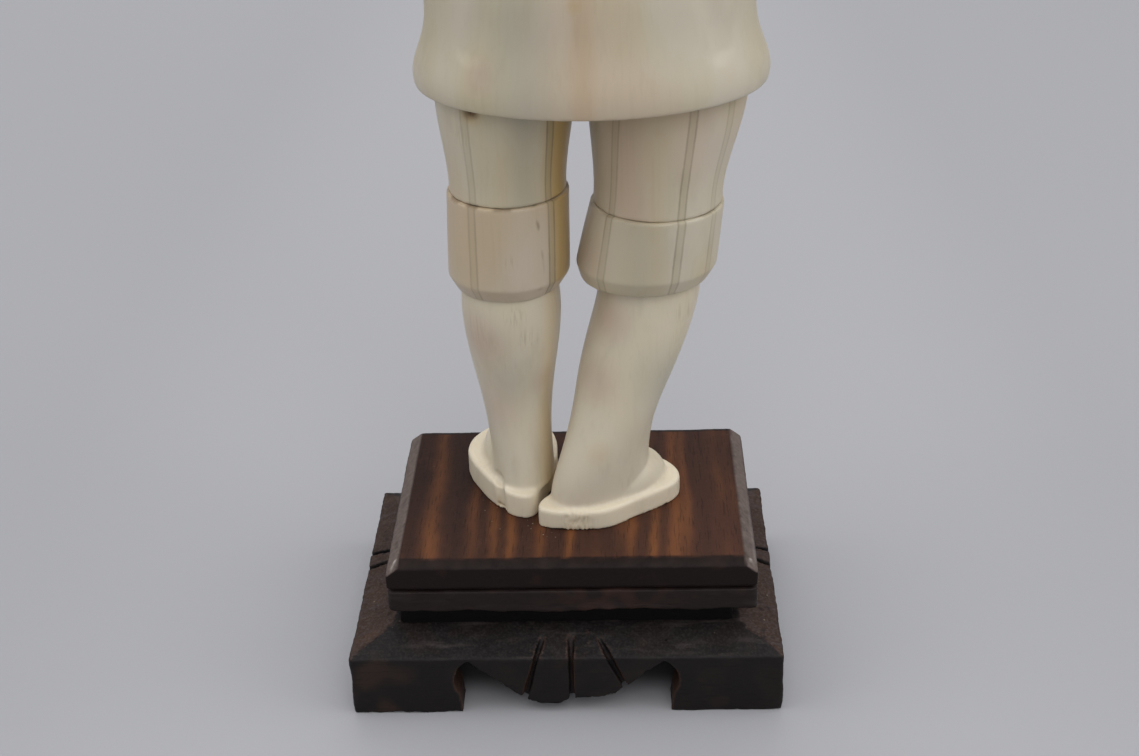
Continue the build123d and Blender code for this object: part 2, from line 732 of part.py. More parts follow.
peg_set(
    "knee_pegs",
    [
        knee_peg(left_knee_x, 0, left_cuff_low, left_cuff_top),
        knee_peg(right_knee_x, right_cuff_lean, right_cuff_low, right_cuff_top),
    ],
    ("leg_left", "leg_right", "cuff_left", "cuff_right", "trouser_left", "trouser_right"),
)
peg_set(
    "hip_pegs",
    [(hip_peg_diameter, 2 * peg_bite, Pos(x, hip_y, recess_top)) for x in (left_hip_x, right_hip_x)],
    ("trouser_left", "trouser_right", "coat_skirt"),
)
peg_set(
    "waist_peg",
    [(waist_peg_diameter, 2 * peg_bite, Pos(figure_x, figure_y, waist_joint))],
    ("coat_skirt", "coat_body"),
)
peg_set(
    "neck_peg",
    [(neck_peg_diameter, 2 * peg_bite, Pos(figure_x, figure_y, chest_top - neck_socket))],
    ("coat_body", "head"),
)
shoulder_turn = Rot(0, 90, 0)
peg_set(
    "shoulder_pegs",
    [
        (shoulder_peg_diameter, 2 * peg_bite,
         Pos(figure_x + side * shoulder_half_span, figure_y, shoulder_z - shoulder_peg_diameter) * shoulder_turn)
        for side in (-1, 1)
    ],
    ("coat_body", "sleeve_left", "sleeve_right"),
)
peg_set(
    "wrist_pegs",
    [
        (wrist_peg_diameter, sleeve_mouth_depth + 2 * wrist_peg_bite,
         place * Pos(0, 0, -sleeve_mouth_depth / 2))
        for place in hand_places.values()
    ],
    ("sleeve_left", "sleeve_right", "hand_left", "hand_right"),
)
for name, solid in pieces.items():
    print(name, solid.is_valid, round(solid.volume, 1))
    export_step(solid, f"parts/{name}.step")
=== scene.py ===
import math

import bmesh
import bpy
import numpy as np
from mathutils import Matrix, Vector


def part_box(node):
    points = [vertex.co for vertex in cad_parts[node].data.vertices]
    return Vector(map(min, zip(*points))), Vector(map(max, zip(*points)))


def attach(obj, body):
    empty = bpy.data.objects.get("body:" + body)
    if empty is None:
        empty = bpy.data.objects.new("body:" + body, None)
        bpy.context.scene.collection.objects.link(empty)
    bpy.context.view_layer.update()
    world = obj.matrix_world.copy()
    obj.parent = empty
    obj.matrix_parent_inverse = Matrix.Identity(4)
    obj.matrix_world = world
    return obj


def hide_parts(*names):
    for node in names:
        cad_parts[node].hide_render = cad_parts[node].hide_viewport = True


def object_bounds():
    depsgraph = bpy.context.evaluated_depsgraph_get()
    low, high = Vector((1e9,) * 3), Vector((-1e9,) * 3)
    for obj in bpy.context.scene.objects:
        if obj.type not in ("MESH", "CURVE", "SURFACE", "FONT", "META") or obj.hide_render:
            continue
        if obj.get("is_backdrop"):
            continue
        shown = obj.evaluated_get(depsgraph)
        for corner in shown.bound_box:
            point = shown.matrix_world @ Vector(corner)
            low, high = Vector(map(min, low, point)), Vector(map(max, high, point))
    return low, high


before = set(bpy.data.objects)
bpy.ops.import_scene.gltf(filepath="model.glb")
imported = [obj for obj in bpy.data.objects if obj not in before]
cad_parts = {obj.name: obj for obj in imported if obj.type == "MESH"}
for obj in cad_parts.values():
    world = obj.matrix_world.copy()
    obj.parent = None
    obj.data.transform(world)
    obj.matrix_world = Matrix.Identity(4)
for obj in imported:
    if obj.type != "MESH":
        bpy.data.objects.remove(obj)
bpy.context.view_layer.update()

scene = bpy.context.scene


# Lower tier of the stand: one block of dark stained hardwood, sawn and whittled by hand.
# Its top slopes up to the waist, its apron has rough scoops and a fan of saw cuts on each side,
# and dust has settled on the slopes; the side slopes are also painted warmer and paler as painted
# sheen of the side light.
MM = 0.001
wood_grain = 0.3
apron_depth, apron_top = 7.4, 9.4
apron_ragged = 0.2
foot_edge_ragged = 0.5


def srgb(red, green, blue):
    """A colour read off in 0 to 255 steps, as the renderer wants it."""
    shares = [step / 255 for step in (red, green, blue)]
    return tuple(share / 12.92 if share < 0.04045 else ((share + 0.055) / 1.055) ** 2.4 for share in shares)


class Value:
    """A number that changes over a surface, written in sums as a plain number is."""

    def __init__(self, finish, socket):
        self.finish = finish
        self.socket = socket

    def maths(self, operation, *numbers):
        node = self.finish.add("ShaderNodeMath", {"operation": operation}, dict(enumerate(numbers)))
        return Value(self.finish, node.outputs[0])

    def __add__(self, other):
        return self.maths("ADD", self, other)

    def __sub__(self, other):
        return self.maths("SUBTRACT", self, other)

    def __rsub__(self, other):
        return self.maths("SUBTRACT", other, self)

    def __mul__(self, other):
        return self.maths("MULTIPLY", self, other)

    def __truediv__(self, other):
        return self.maths("DIVIDE", self, other)

    def __abs__(self):
        return self.maths("ABSOLUTE", self)

    __radd__ = __add__
    __rmul__ = __mul__

    def above(self, low, high):
        """0 under low, 1 over high, and a soft step between them."""
        node = self.finish.add(
            "ShaderNodeMapRange", {"interpolation_type": "SMOOTHSTEP"},
            {"Value": self, "From Min": low, "From Max": high}
        )
        return Value(self.finish, node.outputs["Result"])

    def below(self, low, high):
        return 1 - self.above(low, high)


class Finish:
    """One material, put together from nodes on the surface's own coordinates."""

    def __init__(self, name):
        self.material = bpy.data.materials.new(name)
        self.material.use_nodes = True
        self.tree = self.material.node_tree
        self.shader = self.tree.nodes["Principled BSDF"]

    def feed(self, socket, value):
        if isinstance(value, Value):
            value = value.socket
        if isinstance(value, bpy.types.NodeSocket):
            self.tree.links.new(value, socket)
        elif isinstance(value, tuple) and len(value) == 3 and socket.type == "RGBA":
            socket.default_value = value + (1,)
        else:
            socket.default_value = value

    def add(self, kind, settings, sockets):
        """A node of that kind: first its settings, then the values or links of its sockets."""
        node = self.tree.nodes.new(kind)
        for name, setting in settings.items():
            setattr(node, name, setting)
        for place, value in sockets.items():
            self.feed(node.inputs[place], value)
        return node

    def noise(self, size, stretch=(1, 1, 1), detail=2.0, shift=0.0):
        """A soft random value whose patches are about that many millimetres, times a stretch."""
        place = self.add("ShaderNodeTexCoord", {}, {}).outputs["Object"]
        scales = tuple(1 / (size * MM * share) for share in stretch)
        moved = self.add(
            "ShaderNodeMapping", {}, {"Vector": place, "Location": (shift, shift, shift), "Scale": scales}
        )
        node = self.add(
            "ShaderNodeTexNoise", {}, {"Vector": moved.outputs[0], "Scale": 1.0, "Detail": detail}
        )
        return Value(self, node.outputs["Fac"])

    def specks(self, size, share):
        """Small round grains, a share of them filled in, spread that many millimetres apart."""
        place = self.add("ShaderNodeTexCoord", {}, {}).outputs["Object"]
        cells = self.add("ShaderNodeTexVoronoi", {}, {"Vector": place, "Scale": 1 / (size * MM)})
        chosen = self.add("ShaderNodeSeparateColor", {}, {"Color": cells.outputs["Color"]})
        distance = Value(self, cells.outputs["Distance"])
        lot = Value(self, chosen.outputs["Red"])
        width = Value(self, chosen.outputs["Green"]) * 0.18 + 0.06
        return (distance / width).below(0.6, 1.0) * lot.below(share - 0.01, share)

    def mark(self, name):
        """What the hand tools left on the surface under that name."""
        node = self.add("ShaderNodeAttribute", {"attribute_name": name}, {})
        return Value(self, node.outputs["Fac"])

    def mix(self, share, first, second):
        node = self.add("ShaderNodeMix", {"data_type": "RGBA"}, {"Factor": share, 6: first, 7: second})
        return node.outputs[2]

    def coat(self, colour, roughness, height, depth):
        """Join colour, roughness and relief to the surface; the relief's depth is in millimetres."""
        relief = self.add("ShaderNodeBump", {}, {"Strength": 1.0, "Distance": depth * MM, "Height": height})
        self.feed(self.shader.inputs["Base Color"], colour)
        self.feed(self.shader.inputs["Roughness"], roughness)
        self.feed(self.shader.inputs["Normal"], relief.outputs["Normal"])
        return self.material


def unevenness(points, size, seed, stretch=(1, 1, 1)):
    """A smooth field, mostly between -1 and 1, that changes over about that many millimetres."""
    draw = np.random.default_rng(seed)
    field = np.zeros(len(points))
    for _ in range(16):
        heading = draw.normal(size=3)
        heading /= np.linalg.norm(heading) * size * draw.uniform(0.7, 1.6)
        field += np.sin(points / stretch @ heading * math.tau + draw.uniform(0, math.tau))
    return field / 4


def soft_step(low, high, values):
    share = np.clip((values - low) / (high - low), 0, 1)
    return share * share * (3 - 2 * share)


def shape_of(*nodes):
    """A copy of some solids of the frame, with their loose triangles merged."""
    shape = bmesh.new()
    for node in nodes:
        shape.from_mesh(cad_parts[node].data)
    bmesh.ops.remove_doubles(shape, verts=shape.verts, dist=0.001 * MM)
    return shape


def box_of(node):
    """The two corners of one solid's box, in millimetres."""
    return [np.array(corner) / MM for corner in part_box(node)]


class Skin:
    """A closed skin of small even faces, worked on with hand tools in millimetres."""

    def __init__(self, shape, grain, rubbing):
        mesh = bpy.data.meshes.new("rough")
        shape.to_mesh(mesh)
        shape.free()
        blank = bpy.data.objects.new("rough", mesh)
        scene.collection.objects.link(blank)
        remesh = blank.modifiers.new("Skin", "REMESH")
        remesh.mode = "VOXEL"
        remesh.voxel_size = grain * MM
        graph = bpy.context.evaluated_depsgraph_get()
        self.mesh = bpy.data.meshes.new_from_object(blank.evaluated_get(graph))
        bpy.data.objects.remove(blank)
        self.count = len(self.mesh.vertices)
        flat = np.empty(self.count * 3, np.float32)
        self.mesh.vertices.foreach_get("co", flat)
        self.points = flat.reshape(-1, 3).astype(float) / MM
        pairs = np.empty(len(self.mesh.edges) * 2, np.int32)
        self.mesh.edges.foreach_get("vertices", pairs)
        self.starts, self.ends = pairs.reshape(-1, 2).T
        touching = np.bincount(pairs, minlength=self.count)
        self.touching = np.maximum(touching, 1)
        self.marks = {}
        self.rub(rubbing)

    def around(self, values):
        """The mean of each point's neighbours."""
        total = np.bincount(self.starts, values[self.ends], self.count)
        total += np.bincount(self.ends, values[self.starts], self.count)
        return total / self.touching

    def evened(self):
        """Where each point would lie in the middle of its neighbours."""
        return np.stack([self.around(self.points[:, axis]) for axis in range(3)], 1)

    def rub(self, times, share=0.5):
        """Rub the skin smooth; the share may differ from point to point."""
        for _ in range(times):
            self.points += (self.evened() - self.points) * np.reshape(share, (-1, 1))

    def outward(self):
        self.mesh.vertices.foreach_set("co", (self.points * MM).astype(np.float32).ravel())
        self.mesh.update()
        flat = np.empty(self.count * 3, np.float32)
        self.mesh.vertex_normals.foreach_get("vector", flat)
        return flat.reshape(-1, 3).astype(float)

    def edges_and_creases(self, blur):
        """How sharply the skin bends: above 0 on outer edges, below 0 in creases."""
        outward = self.outward()
        bend = np.einsum("ij,ij->i", self.points - self.evened(), outward)
        for _ in range(blur):
            bend = self.around(bend)
        return bend

    def push(self, amounts):
        """Move each point outwards by its amount."""
        self.points += self.outward() * np.reshape(amounts, (-1, 1))

    def near(self, path, width, look=None):
        """1 on a path of points, falling softly to 0 at half the width.

        With a look, distances are as seen along it, and only the side that faces it counts."""
        path = np.array(path, float)
        points = self.points
        facing = 1.0
        if look is not None:
            look = np.array(look, float)
            path = path - np.outer(path @ look, look)
            points = points - np.outer(points @ look, look)
            facing = soft_step(0.0, 0.25, -self.outward() @ look)
        away = np.full(self.count, np.inf)
        for start, end in zip(path, path[1:]):
            run = end - start
            share = np.clip((points - start) @ run / max(run @ run, 1e-9), 0, 1)
            away = np.minimum(away, np.linalg.norm(points - start - share[:, None] * run, axis=1))
        return soft_step(0, 1, 1 - away / (width / 2)) * facing

    def mark(self, name, amounts):
        self.marks[name] = np.clip(self.marks.get(name, 0.0) + amounts, 0, 1)

    def groove(self, path, width, depth, look=None, dirt=0.0):
        """Cut along a path, and leave some dirt in the cut."""
        cut = self.near(path, width, look)
        self.push(-depth * cut)
        self.mark("dirt", dirt * cut)

    def swell(self, centre, radii, height):
        """Raise a soft mound, or sink a hollow where the height is below 0."""
        away = np.linalg.norm((self.points - centre) / radii, axis=1)
        self.push(height * soft_step(0, 1, 1 - away))

    def spot(self, name, centre, radius, strength):
        away = np.linalg.norm(self.points - centre, axis=1)
        self.mark(name, strength * soft_step(0, 1, 1 - away / radius))

    def fill(self, times, share):
        """Fill hollows little by little, as glue and filing leave a joint."""
        for _ in range(times):
            outward = self.outward()
            rise = np.clip(np.einsum("ij,ij->i", self.evened() - self.points, outward), 0, None)
            self.points += outward * (rise * share)[:, None]

    def piece(self, name, material, slot, *nodes, keep=1.0):
        """The worked skin as a piece of the object in place of its plain solids.

        A share of its faces is kept where flat faces need fewer."""
        self.mesh.vertices.foreach_set("co", (self.points * MM).astype(np.float32).ravel())
        for label, amounts in self.marks.items():
            layer = self.mesh.attributes.new(label, "FLOAT", "POINT")
            layer.data.foreach_set("value", np.broadcast_to(amounts, self.count).astype(np.float32))
        self.mesh.shade_smooth()
        self.mesh.materials.clear()
        self.mesh.materials.append(material)
        self.mesh.update()
        piece = bpy.data.objects.new(name, self.mesh)
        scene.collection.objects.link(piece)
        if keep < 1:
            piece.modifiers.new("Fewer", "DECIMATE").ratio = keep
        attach(piece, "root")
        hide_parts(*nodes)


def dark_wood(name, along, dark, brown, band_colour, gloss):
    """Stained hardwood with its grain along one axis, scuffed edges, smears, dust and bands of lighter
    figure; some of the warm tone, smears, scuffs and dust are painted sheen on slopes and chamfers.
    """
    finish = Finish(name)
    run = tuple(14.0 if axis == along else 1.0 for axis in "xyz")
    smear_run = tuple(6.0 if axis == along else 1.0 for axis in "xyz")
    figure = finish.noise(2.6, run, 3.0)
    pores = finish.noise(0.3, run, 2.0, 3.0)
    smears = finish.noise(2.2, smear_run, 3.0, 7.0)
    blotches = finish.noise(5.0, (1, 1, 1), 3.0, 11.0)
    fine = finish.noise(0.45, (1, 1, 1), 3.0, 2.0)
    flecks = finish.noise(0.9, (1, 1, 1), 2.0, 5.0)
    warm = finish.mark("warm")
    # Warm tone: the wood's own brown, and on the lower tier's side slopes painted sheen.
    colour = finish.mix(warm * (0.55 + figure * 0.8) + blotches.above(0.56, 0.74) * 0.12, dark, brown)
    # Purple-grey smears: smudges, and painted sheen on the upward faces.
    colour = finish.mix(smears.above(0.52, 0.72) * finish.mark("smear_and_sheen") * 0.7, colour, srgb(66, 57, 57))
    bands = finish.mark("band") * (0.6 + figure * 0.8)
    colour = finish.mix(bands, colour, band_colour)
    colour = finish.mix(pores.above(0.55, 0.7) * 0.4, colour, tuple(share * 0.4 for share in dark))
    colour = finish.mix(finish.mark("edge") * (0.4 + fine * 0.9), colour, srgb(74, 58, 54))
    # Scuffs on the top board's side chamfers, paler also as painted sheen of the side light.
    scuff_and_sheen = finish.mark("scuff_and_sheen") * (0.35 + flecks * 0.9)
    colour = finish.mix(scuff_and_sheen, colour, srgb(112, 99, 93))
    # Dust on the upward faces, and painted sheen where it lies on the side slopes and side chamfers.
    dust_and_sheen = finish.mark("dust_and_sheen") * fine.above(0.42, 0.7)
    colour = finish.mix(dust_and_sheen * 0.45, colour, srgb(104, 96, 94))
    crumbs = finish.specks(0.75, 0.4) * finish.mark("crumbs")
    crumbs = crumbs + finish.specks(1.2, 0.1) * finish.mark("dust_and_sheen") * 0.6
    colour = finish.mix(crumbs, colour, srgb(164, 150, 132))
    colour = finish.mix(finish.mark("nick"), colour, srgb(196, 188, 182))
    finish.shader.inputs["Specular IOR Level"].default_value = gloss
    dull = 0.46 + fine * 0.14 + dust_and_sheen * 0.2 + scuff_and_sheen * 0.15 - bands * 0.05
    return finish.coat(colour, dull, fine * 0.45 + pores * 0.5 + crumbs * 0.6, 0.05)


lower = Skin(shape_of("plinth_lower"), wood_grain, 1)
high = box_of("plinth_lower")[1]
outward = lower.outward()
height = lower.points[:, 2]
cut_faces = soft_step(0.2, 0.7, -outward[:, 2]) * soft_step(0.4, 1.0, height)
cut_faces *= soft_step(apron_top, apron_top - 0.4, height)
in_apron = np.zeros(lower.count)
for axis in (0, 1):
    inner = high[axis] - apron_depth
    in_apron = np.maximum(in_apron, soft_step(inner, inner + 0.6, np.abs(lower.points[:, axis])))
lower.push(apron_ragged * cut_faces * in_apron * unevenness(lower.points, 3.4, 3, (1, 4, 1)))
lower.push(0.10 * unevenness(lower.points, 7.0, 4) + 0.035 * unevenness(lower.points, 1.3, 5))
outer_face = soft_step(high[1] - 1.6, high[1] - 0.4, np.abs(lower.points[:, 1]))
foot_edge = outer_face * soft_step(1.3, 0.2, lower.points[:, 2])
lower.points[:, 2] += foot_edge_ragged * foot_edge * np.clip(unevenness(lower.points, 2.6, 6), 0, 1)
bend = lower.edges_and_creases(2)
outward = lower.outward()
x, y, height = lower.points.T
up = soft_step(0.5, 0.9, outward[:, 2])
aside = soft_step(0.14, 0.28, np.abs(outward[:, 0])) * up
blotch = soft_step(-0.3, 0.9, unevenness(lower.points, 9.0, 7))
left_foot = soft_step(24, 36, x) * soft_step(18, 26, y)
lower.mark("edge", soft_step(0.02, 0.08, bend) * soft_step(5.0, 11.0, height) * 0.35)
# The side slopes are painted warmer as painted sheen of the side lamps; the blotches and the cut walls are
# the wood's own colour.
lower.mark("warm", aside * 0.55 + left_foot * blotch * 0.3 + blotch * 0.06)
cut_walls = soft_step(0.3, 0.8, -outward[:, 0] * np.sign(x)) * (height < 11.8)
lower.mark("warm", 0.65 * cut_walls)
# Purple-grey smears on the upward faces: smudges, and painted sheen of the light from above.
lower.mark("smear_and_sheen", up)
# Dust on the upward faces; the extra paleness on the side slopes is painted sheen.
lower.mark("dust_and_sheen", up * 0.2 + aside * 0.45)
lower_wood = dark_wood("lower_tier_wood", "x", srgb(26, 23, 23), srgb(74, 53, 42), srgb(70, 45, 33), 0.16)
lower.piece("lower_tier", lower_wood, "stand_wood", "plinth_lower", keep=0.5)


# Waist block: a plain set-back block between the tiers, glued and dowelled, that shows only as a
# dark recess. It keeps its solid and gets a darker copy of the stained wood, as painted shade.
waist_wood_painted_shade = dark_wood("waist_wood_painted_shade", "x", srgb(17, 15, 15), srgb(32, 25, 22), srgb(50, 36, 30), 0.1)
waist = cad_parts["waist_block"]
waist.data.materials.clear()
waist.data.materials.append(waist_wood_painted_shade)


# Middle board: a thin board left rough from the saw, with a torn lower edge, glued under the top
# board. Its faces are almost black, with a little red-brown showing through.
board_grain = 0.45
torn_edge = 0.24
middle = Skin(shape_of("middle_board"), board_grain, 1)
low, high = box_of("middle_board")
underside = soft_step(low[2] + 1.6, low[2] + 0.3, middle.points[:, 2])
rim = np.maximum(
    soft_step(high[1] - 4.0, high[1] - 1.0, middle.points[:, 1]),
    soft_step(low[1] + 4.0, low[1] + 1.0, middle.points[:, 1])
)
tear = 0.8 * unevenness(middle.points, 12.0, 11) + 0.25 * unevenness(middle.points, 2.2, 12)
middle.points[:, 2] += torn_edge * underside * rim * tear
middle.push(0.07 * unevenness(middle.points, 5.0, 13) + 0.03 * unevenness(middle.points, 1.2, 14))
bend = middle.edges_and_creases(2)
red_patch = np.exp(-((middle.points[:, 0] + 8.0) / 9.0) ** 2)
red_patch *= soft_step(-0.6, 0.6, unevenness(middle.points, 4.0, 15))
middle.mark("edge", soft_step(0.03, 0.12, bend) * 0.3)
middle.mark("warm", 0.1 + 0.3 * red_patch)
middle.mark("smear_and_sheen", 0.35)
middle_wood = dark_wood("middle_board_wood", "x", srgb(27, 24, 24), srgb(74, 46, 35), srgb(66, 42, 32), 0.16)
middle.piece("middle_tier_board", middle_wood, "stand_wood", "middle_board")


# Top board: the show surface, a planed and rubbed board with chamfered, scuffed edges, and its side
# chamfers are also painted paler as painted sheen of the side light. Bands of red-brown figure run
# from front to back, and crumbs lie round the feet.
band_places = (
    (24.7, 1.5, 0.7), (17.4, 1.0, 0.3), (13.6, 0.9, 0.45), (10.4, 0.9, 0.6), (4.9, 1.1, 0.45),
    (-0.8, 0.75, 1.0), (-6.3, 1.2, 0.3), (-10.6, 1.3, 1.0), (-12.6, 0.9, 0.7), (-16.9, 0.8, 0.6),
    (-20.8, 1.3, 0.95), (-23.0, 0.9, 0.6), (-29.8, 1.3, 0.55), (-32.0, 0.7, 0.3),
)
chamfer_width, side_drop, front_drop = 2.2, 1.9, 0.75
top = Skin(shape_of("top_board"), board_grain, 1)
low, high = box_of("top_board")
untouched = low[2] + 1.0
for axis, drop in enumerate((side_drop, front_drop)):
    inset = np.minimum(top.points[:, axis] - low[axis], high[axis] - top.points[:, axis])
    planed = drop * np.clip(1 - inset / chamfer_width, 0, 1)
    top.points[:, 2] -= planed * np.clip((top.points[:, 2] - untouched) / (high[2] - untouched), 0, 1)
top.push(0.05 * unevenness(top.points, 9.0, 21) + 0.02 * unevenness(top.points, 1.2, 22))
for place, radius, depth in (
    ((31.9, 17.0, 29.6), 1.8, 0.55), ((31.4, 20.0, 29.2), 1.0, 0.3), ((12.0, 23.6, 29.9), 1.0, 0.25),
    ((-20.0, 23.6, 29.9), 0.9, 0.25), ((-34.6, 3.0, 29.0), 1.3, 0.3), ((3.0, 23.8, 29.9), 1.4, 0.2),
):
    top.swell(place, (radius, radius, radius), -depth)
outward = top.outward()
bend = top.edges_and_creases(2)
x, y = top.points[:, :2].T
slant = soft_step(0.35, 0.6, outward[:, 2]) * soft_step(0.985, 0.95, outward[:, 2])
aside = soft_step(0.2, 0.4, np.abs(outward[:, 0]))
worn = 0.5 + 0.5 * unevenness(top.points, 3.0, 23)
# The side chamfers are painted paler and dustier: scuffs and dust, and painted sheen of the side lamps.
top.mark("scuff_and_sheen", slant * aside * (0.85 + 0.35 * worn))
top.mark("edge", slant * (1 - aside) * 0.12 * worn + soft_step(0.02, 0.08, bend) * 0.35 * worn)
top.mark("dust_and_sheen", slant * aside * 0.8)
for nick, strength in (
    (((31.6, 23.6, 29.4), (30.9, 22.2, 30.1)), 0.9), (((-34.1, 22.4, 29.7), (-34.9, 23.6, 29.2)), 0.9),
    (((-35.1, 22.0, 28.9), (-35.2, 4.0, 28.9)), 0.35),
):
    top.mark("nick", strength * top.near(nick, 0.9))
flat = soft_step(0.965, 0.995, outward[:, 2])
near_share = 0.45 + 0.55 * soft_step(-18.0, 20.0, y)
top.mark("warm", flat * (0.25 + 0.35 * soft_step(24.0, -20.0, x) + 0.2 * soft_step(-10.0, 22.0, y)))
for across, half_width, strength in band_places:
    wander = x - across + 0.5 * unevenness(top.points, 30.0, 24) + 0.12 * unevenness(top.points, 3.0, 26)
    fade = 0.62 + 0.38 * unevenness(top.points + across, 26.0, 25)
    width = half_width * (0.62 + 0.45 * near_share)
    top.mark("band", 0.9 * strength * fade * near_share * np.exp(-(wander / width) ** 2) * flat)
top.spot("crumbs", (8.6, 8.0, 30.5), 9.5, 1.0)
top.spot("crumbs", (14.5, 4.6, 30.5), 4.0, 0.5)
top.spot("crumbs", (3.2, 14.9, 30.5), 3.0, 1.0)
top.mark("dust_and_sheen", 0.07 * flat)
top_wood = dark_wood("top_board_wood", "y", srgb(29, 21, 20), srgb(77, 49, 38), srgb(140, 86, 48), 0.12)
top.piece("top_tier_board", top_wood, "stand_wood", "top_board")


# Feet and lower legs: each is one section of pale carved material, with the foot, smooth as in a
# split-toed sock, and its thick sandal cut from the same blank. They are rubbed to a satin polish.
leg_grain = 0.3
stripe_far = 8.0
FROM_BEHIND = (0, -1, 0)


def aged_carving(name, striped=False):
    """Polished pale carving with faint upright grain, yellowed patches and grime in the cuts; some yellow
    patches are also painted shade, and one pale strip is painted light.

    Each stripe, where it has them, is a pair of thin dark lines with a tinted strip between."""
    finish = Finish(name)
    broad = finish.noise(15.0, (1, 1, 2.2), 2.0)
    blush = finish.noise(19.0, (1, 1, 1.8), 1.0, 5.0)
    cloudy = finish.noise(4.0, (1, 1, 2.5), 3.0, 13.0)
    grain = finish.noise(0.8, (1, 1, 26.0), 2.0, 1.0)
    threads = finish.noise(0.3, (1, 1, 22.0), 2.0, 9.0)
    fine = finish.noise(0.4, (1, 1, 2.5), 3.0, 4.0)
    colour = finish.mix(broad.above(0.36, 0.66), srgb(198, 189, 170), srgb(192, 180, 150))
    colour = finish.mix(blush.above(0.48, 0.7) * 0.55, colour, srgb(196, 176, 156))
    # Paler tone, and on one strip of the left shin painted light.
    colour = finish.mix(finish.mark("pale"), colour, srgb(224, 212, 188))
    colour = finish.mix(finish.mark("pink") * 0.8, colour, srgb(190, 168, 150))
    colour = finish.mix(finish.mark("grey") * 0.8, colour, srgb(170, 166, 148))
    colour = finish.mix(cloudy.above(0.5, 0.75) * 0.22, colour, srgb(170, 158, 136))
    colour = finish.mix(grain.above(0.5, 0.68) * broad.above(0.35, 0.6) * 0.09, colour, srgb(160, 144, 116))
    streaks = finish.mark("streak") * threads.above(0.5, 0.62)
    colour = finish.mix(threads.above(0.63, 0.72) * 0.05 + streaks * 0.3, colour, srgb(138, 118, 86))
    # Yellowing, and on the inner sides of the legs and under the coat hem painted shade as well.
    colour = finish.mix(finish.mark("yellow") * (0.75 + grain * 0.4), colour, srgb(186, 157, 102))
    relief = fine * 0.3 + grain * 0.15
    if striped:
        away = finish.mark("stripe") * stripe_far + (fine - 0.5) * 0.16
        ink = finish.mark("ink") * (0.55 + cloudy * 0.9)
        line = abs(away - 0.68).below(0.02, 0.3) * ink * (0.5 + grain * 0.9)
        colour = finish.mix(away.below(0.5, 0.8) * ink * 0.45, colour, srgb(150, 138, 104))
        colour = finish.mix(line * 0.6, colour, srgb(108, 94, 72))
        relief = relief - line * 0.8
    grime = finish.mark("dirt") * (0.6 + fine * 0.8)
    colour = finish.mix(grime, colour, srgb(92, 68, 40))
    shader = finish.shader
    shader.inputs["Subsurface Weight"].default_value = 0.1
    shader.inputs["Subsurface Radius"].default_value = (1.0, 0.7, 0.4)
    shader.inputs["Subsurface Scale"].default_value = 0.9 * MM
    shader.inputs["Coat Weight"].default_value = 0.15
    shader.inputs["Coat Roughness"].default_value = 0.22
    return finish.coat(colour, 0.4 + fine * 0.12 + grime * 0.3, relief, 0.03)


def grime_in_creases(skin, low, high, strength):
    bend = skin.edges_and_creases(3)
    skin.mark("dirt", strength * soft_step(low, high, -bend))


carved = aged_carving("polished_carving")
stand_top = box_of("top_board")[1][2]


def foot_point(side, heel, turn, x, y, up):
    """A place on the foot, told from its heel, with the big toe's side towards the other foot."""
    angle = math.radians(turn)
    x *= side
    return (
        heel[0] + x * math.cos(angle) - y * math.sin(angle),
        heel[1] + x * math.sin(angle) + y * math.cos(angle),
        stand_top + up
    )


def carve_leg(side, node, heel, turn, sole):
    skin = Skin(shape_of(node), leg_grain, 2)
    split = ((-28.0, 0.6), (-26.0, 2.6), (-22.0, 4.6))
    split = [foot_point(side, heel, turn, -2.3, y, sole + up) for y, up in split]
    skin.groove(split, 1.3, 0.55, None, 0.25)
    skin.push(0.05 * unevenness(skin.points, 6.0, 31 + side, (1, 1, 2)))
    foot_edge = soft_step(stand_top + 1.2, stand_top + 0.1, skin.points[:, 2])
    skin.points[:, 2] += 0.15 * foot_edge * np.clip(unevenness(skin.points, 3.0, 36 + side), 0, 1)
    sole_top = stand_top + sole
    skin.mark("pale", 0.35 + 0.65 * soft_step(sole_top + 1.2, sole_top - 0.2, skin.points[:, 2]))
    grime_in_creases(skin, 0.006, 0.03, 0.22)
    return skin


left_leg = carve_leg(1, "leg_left", (7.7, 9.4), 6.0, 5.2)
left_leg.groove(((12.4, 4.8, 36.6), (12.1, 5.6, 33.6), (11.9, 6.0, 30.2)), 2.4, 0.8, FROM_BEHIND, 0.06)
left_leg.groove(((12.6, 5.8, 31.4), (11.6, 6.4, 31.0), (11.9, 6.2, 30.2)), 1.0, 0.4, FROM_BEHIND, 0.3)
left_leg.mark("yellow", 0.3 * left_leg.near(((12.6, 5.6, 32.4), (12.4, 5.9, 30.6)), 2.6, FROM_BEHIND))
